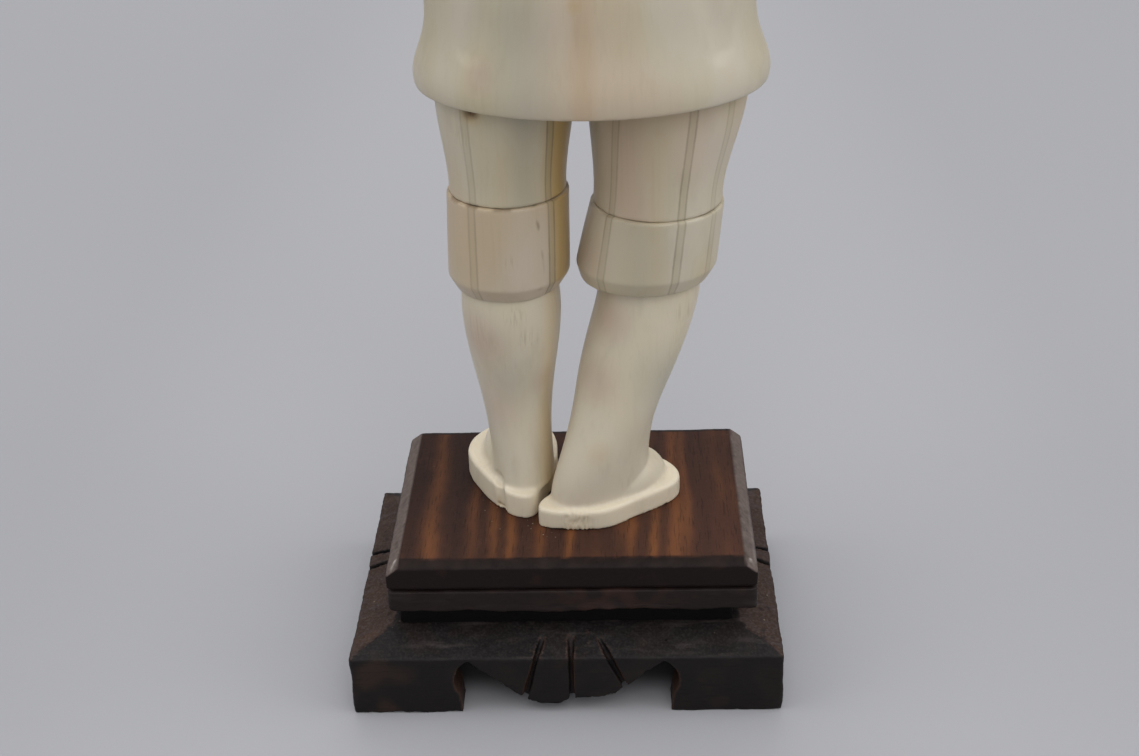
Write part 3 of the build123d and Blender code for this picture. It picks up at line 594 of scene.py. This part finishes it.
# A strip on the inner edge of the left shin: painted light lifts it, and its yellow is yellowing with
# painted shade from the other leg.
inner_edge = ((2.4, 6.5, 28.0), (3.0, 5.5, 48.0), (1.8, 4.0, 62.0), (0.8, 3.0, 78.0))
strip = left_leg.near(inner_edge, 5.4, FROM_BEHIND)
left_leg.mark("pale", strip * 0.6)
left_leg.mark("yellow", strip * (0.3 + 0.3 * soft_step(66.0, 40.0, left_leg.points[:, 2])))
left_leg.spot("pink", (2.6, 4.5, 57.0), 5.0, 0.8)
left_leg.spot("pink", (14.6, 4.0, 66.0), 9.0, 0.9)
left_leg.spot("pink", (13.0, 4.0, 52.0), 9.0, 0.6)
left_leg.spot("grey", (8.6, 6.4, 58.0), 8.0, 0.5)
for place, radius, strength in (
    ((14.3, 4.6, 68.0), 5.5, 0.55), ((10.8, 6.0, 62.0), 5.0, 0.25), ((7.8, 6.3, 71.5), 3.0, 0.9),
    ((5.6, 6.0, 67.0), 3.4, 0.9), ((14.6, 3.6, 42.0), 4.0, 0.7),
):
    left_leg.spot("streak", place, radius, strength)
left_leg.spot("dirt", (2.61, 6.39, 76.6), 1.1, 0.9)
left_leg.piece("left_foot_and_shin", carved, "carved_body", "leg_left")

right_leg = carve_leg(-1, "leg_right", (4.3, 12.3), -55.0, 4.1)
x, y, height = right_leg.points.T
ribbed = soft_step(1.4, -1.6, x) * soft_step(-6.6, -3.6, x)
ribbed *= soft_step(9.0, 11.0, y) * soft_step(35.0, 33.4, height)
ribs = np.cos((x + 0.06 * height) * math.tau / 0.8 + 2.2 * unevenness(right_leg.points, 2.4, 39))
right_leg.push(-0.13 * ribbed * (1 + ribs) * soft_step(-1.0, 0.6, unevenness(right_leg.points, 1.8, 38)))
right_leg.mark("yellow", 0.14 * ribbed)
right_leg.mark("dirt", 0.1 * ribbed * soft_step(0.0, 1.0, ribs))
right_leg.spot("yellow", (-6.9, 13.6, 45.8), 5.0, 0.4)
right_leg.spot("yellow", (-4.4, 10.0, 56.4), 4.0, 0.3)
right_leg.spot("pink", (-9.0, 4.5, 70.0), 7.0, 0.9)
right_leg.spot("pink", (-7.4, 6.0, 58.0), 7.0, 0.9)
right_leg.spot("grey", (-18.5, 5.0, 58.0), 11.0, 0.8)
for place, radius, strength in (
    ((-22.4, 4.2, 71.3), 3.2, 1.0), ((-20.9, 5.3, 64.9), 4.0, 0.5), ((-18.9, 6.3, 60.0), 4.0, 0.35),
    ((-16.0, 9.0, 40.0), 4.0, 0.5), ((-12.0, 9.0, 38.0), 3.0, 0.4),
):
    right_leg.spot("streak", place, radius, strength)
right_leg.spot("dirt", (-7.4, 5.5, 76.0), 1.0, 0.9)
right_leg.piece("right_foot_and_shin", carved, "carved_body", "leg_right")


# Cuffs and trousers: separate barrel-shaped sections, pegged and glued in a stack. Pairs of stained
# lines are drawn down the cloth, the cuffs stand a little proud, and glue has browned in the joints.
cloth_grain = 0.34
stripe_axis_y, stripe_axis_z = -3.2, 75.0
striped = aged_carving("striped_carving", striped=True)


def draw_stripes(skin, axis_x, lean, radius, stripes):
    """Mark how far each point is from the nearest stripe, and how strongly that one still shows."""
    x = skin.points[:, 0] - axis_x - lean * (skin.points[:, 2] - stripe_axis_z)
    y = skin.points[:, 1] - stripe_axis_y
    around = np.degrees(np.arctan2(x, y))
    away = np.full(skin.count, stripe_far)
    ink = np.zeros(skin.count)
    for angle, strength in stripes:
        turn = (around - angle + 180) % 360 - 180
        distance = np.abs(np.radians(turn)) * radius
        ink = np.where(distance < away, strength, ink)
        away = np.minimum(away, distance)
    skin.mark("stripe", away / stripe_far)
    skin.mark("ink", ink)


left_stripes = ((31, 0.45), (-44, 0.95), (-92, 0.5), (-138, 0.5), (176, 0.5), (128, 0.5), (80, 0.45))
right_stripes = (
    (44, 0.55), (-19, 0.6), (-54, 0.4), (-100, 0.4), (-146, 0.5), (168, 0.5), (122, 0.5), (82, 0.45),
)
for node, name, stripes, axis_x, lean, radius, seed in (
    ("trouser_left", "left_trouser", left_stripes, 8.6, 0.0, 11.3, 41),
    ("cuff_left", "left_cuff", left_stripes, 8.6, 0.0, 11.3, 42),
    ("trouser_right", "right_trouser", right_stripes, -16.3, -0.098, 12.4, 43),
    ("cuff_right", "right_cuff", right_stripes, -16.3, -0.098, 12.4, 44),
):
    skin = Skin(shape_of(node), cloth_grain, 1)
    low, high = box_of(node)
    skin.push(0.05 * unevenness(skin.points, 8.0, seed, (1, 1, 2)))
    draw_stripes(skin, axis_x, lean, radius, stripes)
    grime_in_creases(skin, 0.01, 0.05, 0.3)
    worn = soft_step(0.0, 0.7, unevenness(skin.points, 5.0, seed + 10))
    top_line = soft_step(high[2] - 0.6, high[2] - 0.1, skin.points[:, 2])
    foot_line = soft_step(low[2] + 0.6, low[2], skin.points[:, 2])
    glue = 0.5 if "left" in node else 0.25
    skin.mark("dirt", glue * worn * (top_line if "cuff" in node else foot_line))
    skin.mark("yellow", 0.2 * soft_step(-0.2, 0.9, unevenness(skin.points, 14.0, seed + 20, (1, 1, 3))))
    if node == "trouser_left":
        # The inner side of the trouser is painted yellow-brown: yellowing, and painted shade between the
        # legs.
        skin.mark("yellow", 0.85 * skin.near(((-0.4, 4.0, 88.0), (-1.4, 4.0, 114.0)), 7.0, FROM_BEHIND))
        skin.mark("grey", 0.9 * skin.near(((5.4, 6.0, 88.0), (4.6, 6.0, 114.0)), 9.0, FROM_BEHIND))
        skin.spot("yellow", (13.6, 7.6, 110.4), 3.2, 0.8)
        skin.spot("dirt", (13.9, 7.6, 110.6), 1.9, 0.85)
        skin.spot("dirt", (12.8, 8.2, 110.4), 1.3, 0.6)
        skin.spot("streak", (15.4, 6.6, 106.0), 4.0, 0.6)
    if node == "cuff_left":
        # The inner side of the cuff is painted yellow-brown: yellowing, and painted shade between the legs.
        skin.mark("yellow", 0.9 * skin.near(((-0.8, 1.0, 70.0), (-0.8, 1.0, 98.0)), 6.0, FROM_BEHIND))
        skin.mark("pink", 0.5)
        skin.spot("dirt", (2.61, 6.9, 76.6), 1.2, 0.9)
        crack = ((3.4, 6.5, 93.0), (2.6, 6.7, 86.0), (2.0, 6.4, 78.0))
        skin.mark("dirt", 0.55 * worn * skin.near(crack, 0.7, FROM_BEHIND))
        skin.spot("streak", (8.0, 8.0, 83.0), 2.0, 0.9)
    if node == "trouser_right":
        # The inner side and the top under the coat hem are painted yellow-brown: yellowing, and painted
        # shade between the legs and under the hem.
        skin.mark("yellow", 0.7 * skin.near(((-5.2, 4.0, 88.0), (-3.6, 4.0, 114.0)), 6.0, FROM_BEHIND))
        skin.mark("yellow", 0.35 * soft_step(low[2] + 14.0, high[2], skin.points[:, 2]))
        skin.mark("pink", 0.9 * skin.near(((-13.0, 8.0, 88.0), (-12.0, 8.0, 108.0)), 12.0, FROM_BEHIND))
        skin.spot("streak", (-8.6, 7.2, 108.0), 3.0, 1.0)
    if node == "cuff_right":
        skin.spot("pink", (-5.0, 4.0, 82.0), 6.0, 0.7)
        skin.mark("grey", 0.6 * skin.near(((-14.0, 9.0, 74.0), (-15.0, 9.0, 94.0)), 12.0, FROM_BEHIND))
    skin.piece(name, striped, "carved_body", node)


# Coat below the belt: a short flared section, hollowed underneath over the trousers. It is smooth
# behind, laps left over right in front, and a brown age line runs down its back.
coat_grain = 0.42
FROM_FRONT = (0, 1, 0)
figure_x, figure_y = -6.6, -5.2
skirt = Skin(shape_of("coat_skirt"), coat_grain, 1)
hem_z, skirt_top = box_of("coat_skirt")[0][2], box_of("belt")[0][2]
front = figure_y - 24.0
lap = ((-9.0, front, skirt_top), (-13.5, front, hem_z + 8), (-16.5, front, hem_z - 1))
skirt.groove(lap, 1.3, 0.5, FROM_FRONT, 0.3)
for top_x, foot_x, depth in ((-22.0, -29.0, 0.5), (2.0, 6.0, 0.55), (9.0, 15.0, 0.6), (-14.0, -21.0, 0.4)):
    skirt.groove(((top_x, front, skirt_top + 1), (foot_x, front, hem_z + 6)), 5.0, depth, FROM_FRONT)
skirt.groove(((-24.0, 30, skirt_top), (-28.0, 30, hem_z + 9)), 6.0, 0.35, FROM_BEHIND)
skirt.groove(((8.0, 30, skirt_top), (13.0, 30, hem_z + 10)), 6.0, 0.35, FROM_BEHIND)
grime_in_creases(skirt, 0.006, 0.03, 0.25)
age_path = ((-5.4, 18, hem_z - 1), (-5.7, 18, hem_z + 12), (-5.6, 18, skirt_top))
age_line = skirt.near(age_path, 6.5, FROM_BEHIND)
skirt.mark("pink", 0.75 * age_line)
skirt.mark("yellow", 0.28 * age_line)
skirt.mark("grey", 0.7 * skirt.near(((4.0, 18, hem_z + 4), (6.0, 18, skirt_top)), 18.0, FROM_BEHIND))
skirt.spot("yellow", (-4.2, 16.1, 130.4), 2.2, 0.5)
skirt.spot("pink", (11.2, 12.9, 118.4), 4.5, 0.9)
skirt.spot("dirt", (11.4, 12.9, 119.1), 1.0, 0.14)
skirt.spot("yellow", (-25.0, 6.0, hem_z + 3), 7.0, 0.4)
skirt.piece("coat_skirt_carving", carved, "carved_body", "coat_skirt")


# Belt and knot: a flat band let in between the two coat sections, with a knot and two short ends
# carved as one piece and glued on in front.
belt_grain, knot_grain = 0.3, 0.2
belt = Skin(shape_of("belt"), belt_grain, 1)
low, high = box_of("belt")
for share in (0.2, 0.5, 0.8):
    level = low[2] + (high[2] - low[2]) * share
    line = soft_step(0.35, 0.0, np.abs(belt.points[:, 2] - level))
    belt.push(-0.16 * line)
    belt.mark("dirt", 0.28 * line)
around = np.arctan2(belt.points[:, 0] - figure_x, belt.points[:, 1] - figure_y)
weave = np.clip(np.cos(around * 150), 0, 1) * (1 - line)
belt.push(-0.06 * weave)
belt.mark("dirt", 0.06 * weave)
belt.mark("yellow", 0.35)
belt.piece("belt_band", carved, "carved_body", "belt")

knot = Skin(shape_of("belt_knot"), knot_grain, 2)
low, high = box_of("belt_knot")
front = low[1] - 1
knot_z = (skirt_top + high[2]) / 2
for across in (-2.4, -1.2, 0.0, 1.2, 2.4):
    start = (figure_x + across * 0.5, front, high[2])
    end = (figure_x + across, front, knot_z)
    knot.groove((start, end), 0.5, 0.16, FROM_FRONT, 0.3)
for side in (-1, 1):
    for inset in (-1.2, 0.0, 1.2):
        start = (figure_x + side * (2.2 + inset * 0.8), front, skirt_top)
        end = (figure_x + side * (4.6 + inset), front, low[2] - 1)
        knot.groove((start, end), 0.5, 0.14, FROM_FRONT, 0.3)
grime_in_creases(knot, 0.006, 0.03, 0.4)
knot.mark("yellow", 0.2)
knot.piece("belt_knot_carving", carved, "carved_body", "belt_knot")


# Coat above the belt, with its sleeves: the sleeves are sections of their own, pegged and glued at
# the shoulders, and the joints are filed flush. A crossed collar band stands proud of the cloth,
# and soft folds draw in to the belt and bunch at the elbows.
body = Skin(shape_of("coat_body", "sleeve_left", "sleeve_right"), coat_grain, 3)
low, high = box_of("coat_body")
front, back = low[1] - 1, high[1] + 1
belt_top = box_of("belt")[1][2]
for side in (-1, 1):
    joint = (figure_x + side * 17.0, figure_y, 158.0)
    away = np.linalg.norm((body.points - joint) / (9.0, 16.0, 15.0), axis=1)
    filed = soft_step(1.0, 0.6, away)
    body.fill(70, 0.9 * filed)
    body.rub(12, 0.5 * filed)
for across, lean, depth in ((-14.0, 3.0, 0.55), (-8.0, 1.2, 0.4), (7.5, -1.4, 0.45), (13.0, -3.0, 0.55)):
    start = (figure_x + across * 1.1, back, belt_top)
    end = (figure_x + across + lean, back, belt_top + 15)
    body.groove((start, end), 3.6, depth, FROM_BEHIND)
for across, lean, depth in ((-15.0, 4.0, 0.5), (-10.0, 3.0, 0.45), (11.0, -2.5, 0.5), (15.5, -4.0, 0.5)):
    start = (figure_x + across, front, belt_top)
    end = (figure_x + across + lean, front, belt_top + 12)
    on_chest = (np.abs(body.points[:, 0] - figure_x) < 17.5) * (body.points[:, 1] > front)
    body.push(-depth * body.near((start, end), 3.0, FROM_FRONT) * on_chest)
hem_lines = np.zeros(body.count)
for side in (-1, 1):
    elbow = np.array((figure_x + side * 28.0, figure_y + 1.4, 140.5))
    shoulder = np.array((figure_x + side * 20.4, figure_y, 162.4))
    wrist = np.array((figure_x + side * 10.8, figure_y - 24.0, 145.5))
    along = (wrist - elbow) / np.linalg.norm(wrist - elbow)
    rise = (shoulder - elbow) / np.linalg.norm(shoulder - elbow)
    for turn, start, reach, depth in (
        (0.9, 3.5, 7.0, 0.55), (0.3, 5.5, 9.0, 0.6), (-0.3, 7.5, 9.5, 0.55), (-0.9, 9.0, 8.0, 0.45),
    ):
        first = elbow + rise * start * 0.8 - along * 3.0 + np.array((side * 4.0 * turn, 2.5, 0))
        last = elbow + along * start + rise * 3.0 + np.array((side * 5.0, -reach * 0.4, 2.0 * turn))
        middle_point = (first + last) / 2 + np.array((side * 2.5, 1.5, -1.0))
        body.groove((first, middle_point, last), 2.6, depth)
    own_side = (body.points[:, 0] - figure_x) * side > 0
    ahead_of_chest = body.points[:, 1] < figure_y - 14.0
    band = (body.points - wrist) @ along
    hem_lines = np.maximum(hem_lines, soft_step(0.6, 0.0, np.abs(band + 3.4)) * own_side * ahead_of_chest)
body.push(-0.2 * hem_lines)
body.mark("dirt", 0.3 * hem_lines)
grime_in_creases(body, 0.006, 0.03, 0.3)
body.mark("yellow", 0.4 * body.near(((-5.8, back, belt_top), (-6.0, back, high[2])), 3.4, FROM_BEHIND))
body.mark("yellow", 0.2 * soft_step(0.0, 0.9, unevenness(body.points, 16.0, 61)))
body.piece(
    "coat_and_sleeves_carving", carved, "carved_body", "coat_body", "sleeve_left", "sleeve_right", keep=0.6
)


# Hands: carved apart from the same pale material and pegged into the sleeve mouths, the right laid
# in front of the left. Grime has stayed between the fingers.
hand_grain = 0.2
for node, name in (("hand_left", "left_hand"), ("hand_right", "right_hand")):
    hand = Skin(shape_of(node), hand_grain, 3)
    grime_in_creases(hand, 0.004, 0.02, 0.45)
    hand.mark("yellow", 0.1)
    hand.piece(name, carved, "carved_body", node)


# Head: one section with the neck, pegged into the collar. The face is calm and plain, with lowered
# eyelids, and the close cap of hair is cut in fine strands that run up to the topknot.
hair_depth = 0.7
head_grain = 0.22
hair_tilt = 0.42
skull = (10.0, 11.4, 11.3)
skull_middle = 15.7
crown = skull_middle + skull[2]
low, high = box_of("head")
head_x = (low[0] + high[0]) / 2
head_back = high[1] - hair_depth - skull[1]
chin = high[2] - hair_depth - crown


def face(x, ahead, up):
    """A place on the head: across from its middle, ahead of the ears, and up from the chin."""
    return (head_x + x, head_back - ahead, chin + up)


def egg(shape, centre, radii):
    """Add a round lump of three half sizes."""
    place = Matrix.Translation(Vector(centre) * MM)
    size = Matrix.Diagonal((radii[0] * MM, radii[1] * MM, radii[2] * MM, 1))
    bmesh.ops.create_icosphere(shape, subdivisions=3, radius=1, matrix=place @ size)


def bead_run(shape, points, radii):
    """Add a round strip of overlapping lumps through a few points."""
    for (start, end), (first, last) in zip(zip(points, points[1:]), zip(radii, radii[1:])):
        steps = max(2, math.ceil((Vector(end) - Vector(start)).length / (0.45 * min(first, last))))
        for step in range(steps + 1):
            share = step / steps
            radius = first + (last - first) * share
            egg(shape, Vector(start).lerp(Vector(end), share), (radius, radius, radius))


shape = bmesh.new()
egg(shape, face(0, 0, skull_middle), skull)
egg(shape, face(0, 1.9, 9.2), (8.0, 8.2, 9.2))
bead_run(shape, (face(0, -1.1, -1.4), face(0, -1.1, 8.0)), (6.3, 6.3))
bead_run(shape, (face(0, 10.4, 13.6), face(0, 11.2, 10.2)), (0.9, 1.35))
egg(shape, face(0, 11.4, 9.5), (1.35, 1.25, 1.15))
egg(shape, face(0, 8.6, 6.0), (3.8, 1.7, 2.7))
egg(shape, face(0, 10.2, 6.5), (2.5, 0.55, 0.5))
egg(shape, face(0, 10.0, 5.4), (2.0, 0.6, 0.6))
egg(shape, face(0, 7.0, 2.9), (3.6, 2.3, 2.8))
for side in (-1, 1):
    egg(shape, face(side * 1.5, 10.4, 9.0), (1.0, 1.0, 0.85))
    egg(shape, face(side * 4.3, 5.6, 9.2), (4.0, 3.3, 4.4))
    egg(shape, face(side * 9.7, 0, 11.6), (1.2, 2.0, 3.1))
    egg(shape, face(side * 9.3, 0.6, 9.4), (0.9, 1.1, 1.3))
head = Skin(shape, head_grain, 5)
head.fill(70, 0.9)
head.rub(4)
for side in (-1, 1):
    head.swell(face(side * 4.1, 10.2, 13.0), (3.1, 3.4, 2.2), -1.5)
    head.swell(face(side * 4.2, 9.4, 12.9), (2.3, 2.8, 1.6), 0.95)
    head.swell(face(side * 3.9, 10.9, 16.1), (3.4, 3.0, 1.4), 0.4)
head.rub(2)
for side in (-1, 1):
    lid = ((2.1, 12.5), (3.2, 12.2), (4.3, 12.1), (5.4, 12.4), (6.3, 13.0))
    fold = ((2.2, 13.6), (3.2, 14.1), (4.4, 14.2), (5.6, 13.8), (6.5, 13.2))
    brow = ((1.9, 16.0), (3.4, 16.9), (5.0, 17.0), (6.8, 16.2))
    upper_brow = ((1.9, 16.35), (3.4, 17.25), (5.0, 17.35), (6.8, 16.55))
    nostril = ((1.1, 8.5), (1.9, 8.6))
    cheek = ((2.5, 9.0), (3.5, 7.6), (4.0, 6.0))
    for line, width, depth, dirt in (
        (lid, 0.55, 0.3, 0.75), (fold, 0.5, 0.16, 0.35), (brow, 0.4, 0.1, 0.5), (upper_brow, 0.4, 0.1, 0.5),
        (nostril, 0.7, 0.35, 0.4), (cheek, 1.2, 0.16, 0.05),
    ):
        head.groove([face(side * x, 12, up) for x, up in line], width, depth, FROM_FRONT, dirt)
    ear_rim = ((0.9, 13.2), (-0.3, 13.9), (-1.2, 12.6), (-1.0, 10.8), (0.1, 9.6))
    ear_fold = ((0.6, 12.2), (-0.1, 11.2), (0.6, 10.2))
    for line, width, depth in ((ear_rim, 0.55, 0.35), (ear_fold, 0.6, 0.3)):
        path = [face(side * 10, ahead, up) for ahead, up in line]
        head.groove(path, width, depth, (-side, 0, 0), 0.4)
lips = [face(x, 12, up) for x, up in ((-3.0, 6.25), (-1.6, 5.95), (0, 6.02), (1.6, 5.95), (3.0, 6.25))]
head.groove(lips, 0.45, 0.3, FROM_FRONT, 0.7)
head.groove((face(0, 12, 8.1), face(0, 12, 7.2)), 0.9, 0.14, FROM_FRONT)
head.groove((face(-1.4, 12, 4.3), face(1.4, 12, 4.3)), 1.4, 0.2, FROM_FRONT)
across_head = np.abs(head.points[:, 0] - head_x)
ahead = soft_step(0.0, 6.0, head_back - head.points[:, 1])
hair_edge = (head.points[:, 2] - chin - skull_middle) * math.cos(hair_tilt)
hair_edge += (head.points[:, 1] - head_back) * math.sin(hair_tilt) - 0.8
hair_edge -= 1.3 * np.exp(-(across_head / 4.6) ** 2) * ahead
hair_edge += 1.1 * np.exp(-((across_head - 8.4) / 1.8) ** 2)
hair_edge += 0.25 * unevenness(head.points, 1.6, 72)
hair = soft_step(-0.45, 0.45, hair_edge)
from_knot = head.points - np.array(face(0, -3.0, crown))
strand = np.arctan2(from_knot[:, 0], from_knot[:, 1]) * 88 + 1.8 * unevenness(head.points, 4.0, 71)
strand = np.cos(strand)
head.push(hair * (hair_depth + 0.10 * strand))
head.mark("dirt", hair * (0.26 + 0.30 * soft_step(0.2, 1.0, -strand)))
grime_in_creases(head, 0.004, 0.02, 0.3)
head.mark("yellow", 0.12)
head.piece("head_carving", carved, "carved_body", "head")


# Topknot: the hair drawn up, folded forward and tied round with a cord. It is carved apart from the
# head and glued on its crown, and it has the same fine strands.
topknot_grain = 0.18
cord_radius, cord_width = 2.0, 0.5
tuft = shape_of("topknot")
low, high = box_of("topknot")
knot_y, knot_z = (low[1] + high[1]) / 2, (low[2] + high[2]) / 2
for lift in (0.1, 1.1):
    ring = Matrix.Translation(Vector((head_x, knot_y + lift, knot_z)) * MM)
    bmesh.ops.create_cone(
        tuft, cap_ends=True, segments=32, radius1=cord_radius * MM, radius2=cord_radius * MM,
        depth=cord_width * MM, matrix=ring @ Matrix.Rotation(math.pi / 2, 4, "X")
    )
knot_skin = Skin(tuft, topknot_grain, 3)
spokes = np.arctan2(knot_skin.points[:, 0] - head_x, knot_skin.points[:, 2] - knot_z)
lines = np.cos(spokes * 18)
knot_skin.push(0.07 * lines)
knot_skin.mark("dirt", 0.3 * soft_step(0.2, 1.0, -lines) + 0.26)
knot_skin.mark("yellow", 0.1)
knot_skin.piece("topknot_carving", carved, "carved_body", "topknot")


# Pegs and dowels: plain turned pins of light wood in drilled holes, out of sight in every joint.
# They keep their solids.
peg_finish = Finish("peg_wood")
fibres = peg_finish.noise(0.3, (1, 1, 16.0), 3.0)
peg_colour = peg_finish.mix(fibres.above(0.35, 0.7), srgb(176, 146, 104), srgb(138, 106, 70))
peg_material = peg_finish.coat(peg_colour, 0.6 + fibres * 0.15, fibres, 0.05)
for node in (
    "stand_dowels", "foot_pins", "knee_pegs", "hip_pegs",
    "waist_peg", "neck_peg", "shoulder_pegs", "wrist_pegs",
):
    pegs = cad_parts[node]
    pegs.data.materials.clear()
    pegs.data.materials.append(peg_material)


# Floor: a seamless sheet of pale grey paper under and far behind the object. It is painted paler far
# off as painted light, where less light reaches it, a little darker away from the middle as painted
# shade, and painted in deep shade under the stand.
floor_half = 6.0
floor_shape = bmesh.new()
bmesh.ops.create_grid(floor_shape, x_segments=1, y_segments=1, size=floor_half)
floor_mesh = bpy.data.meshes.new("paper_floor")
floor_shape.to_mesh(floor_mesh)
floor_shape.free()
floor = bpy.data.objects.new("paper_floor", floor_mesh)
scene.collection.objects.link(floor)
paper = Finish("grey_paper")
tooth = paper.noise(0.8, (1, 1, 1), 3.0)
place = paper.add("ShaderNodeTexCoord", {}, {}).outputs["Object"]
split = paper.add("ShaderNodeSeparateXYZ", {}, {"Vector": place})
across = Value(paper, split.outputs["X"])
along = Value(paper, split.outputs["Y"]) + 0.1
# Painted shade: the paper darkens a little away from the middle, as the light falls off.
side_falloff_shade = across * across + along * along * 0.03
paper_colour = paper.mix(side_falloff_shade.above(0.05 ** 2, 0.13 ** 2), srgb(166, 166, 170), srgb(160, 160, 164))
# Painted light: the paper pales far off, where the lamps reach it less.
far_painted_light = across * across + along * along
paper_colour = paper.mix(far_painted_light.above(0.5 ** 2, 1.8 ** 2), paper_colour, srgb(214, 214, 218))
under_stand = abs(across).below(0.028, 0.036) * abs(along - 0.1).below(0.017, 0.024)
paper_colour = paper.mix(under_stand * 0.85, paper_colour, srgb(52, 51, 52))
floor_mesh.materials.append(paper.coat(paper_colour, 0.8 + tooth * 0.1, tooth, 0.02))
floor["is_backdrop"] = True


# Light: a pale even backdrop that only the camera sees, a dim sky, four soft boxes, and a broad
# soft light from above.
class Studio(Finish):
    """The world, put together from nodes as a material is."""

    def __init__(self, world):
        world.use_nodes = True
        self.tree = world.node_tree


scene.world = bpy.data.worlds.new("studio")
studio = Studio(scene.world)
heading = studio.add("ShaderNodeTexCoord", {}, {}).outputs["Generated"]
heading = studio.add("ShaderNodeSeparateXYZ", {}, {"Vector": heading}).outputs["Z"]
brightness = studio.add(
    "ShaderNodeMapRange", {}, {"Value": heading, "From Max": 0.8, "To Min": 0.12, "To Max": 0.42}
)
brightness = brightness.outputs["Result"]
sky = studio.add("ShaderNodeBackground", {}, {"Color": srgb(250, 251, 255), "Strength": brightness})
backdrop = studio.add("ShaderNodeBackground", {}, {"Color": srgb(174, 174, 178), "Strength": 1.0})
seen = studio.add("ShaderNodeLightPath", {}, {}).outputs["Is Camera Ray"]
both = studio.add("ShaderNodeMixShader", {}, {0: seen, 1: sky.outputs[0], 2: backdrop.outputs[0]})
studio.feed(studio.tree.nodes["World Output"].inputs["Surface"], both.outputs[0])

for name, place, size, power in (
    ("left_softbox", (0.8, 0.1, 0.6), 0.8, 2.3),
    ("right_softbox", (-0.8, 0.1, 0.6), 0.8, 3.1),
    ("camera_side_softbox", (-0.15, 0.85, 0.66), 0.9, 3.3),
    ("front_softbox", (0.1, -0.8, 0.6), 0.9, 2.6),
):
    light = bpy.data.lights.new(name, "AREA")
    light.size = size
    light.energy = power
    lamp = bpy.data.objects.new(name, light)
    lamp.location = place
    lamp.rotation_mode = "QUATERNION"
    lamp.rotation_quaternion = (Vector((0, 0, 0.06)) - Vector(place)).to_track_quat("-Z", "Y")
    lamp.visible_glossy = name != "front_softbox"
    scene.collection.objects.link(lamp)
overhead = bpy.data.lights.new("overhead", "SUN")
overhead.energy = 0.95
overhead.angle = 1.2
scene.collection.objects.link(bpy.data.objects.new("overhead", overhead))


# Camera: behind the figure and above it, as the photographer held it. Its focal length is told in
# the pixels of a picture that is 1139 pixels wide.
focal_pixels, picture_width = 1700, 1139
camera_place = (-11.3, 276.97, 208.05)
camera_turn = (61.15, 1.6, -178.823)
view = bpy.data.cameras.new("camera")
view.sensor_width = 36.0
view.lens = focal_pixels / picture_width * view.sensor_width
view.clip_start = 0.01
view.clip_end = 50.0
camera = bpy.data.objects.new("camera", view)
camera.location = Vector(camera_place) * MM
camera.rotation_euler = [math.radians(angle) for angle in camera_turn]
scene.collection.objects.link(camera)
scene.camera = camera
scene.view_settings.view_transform = "Standard"

low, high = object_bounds()
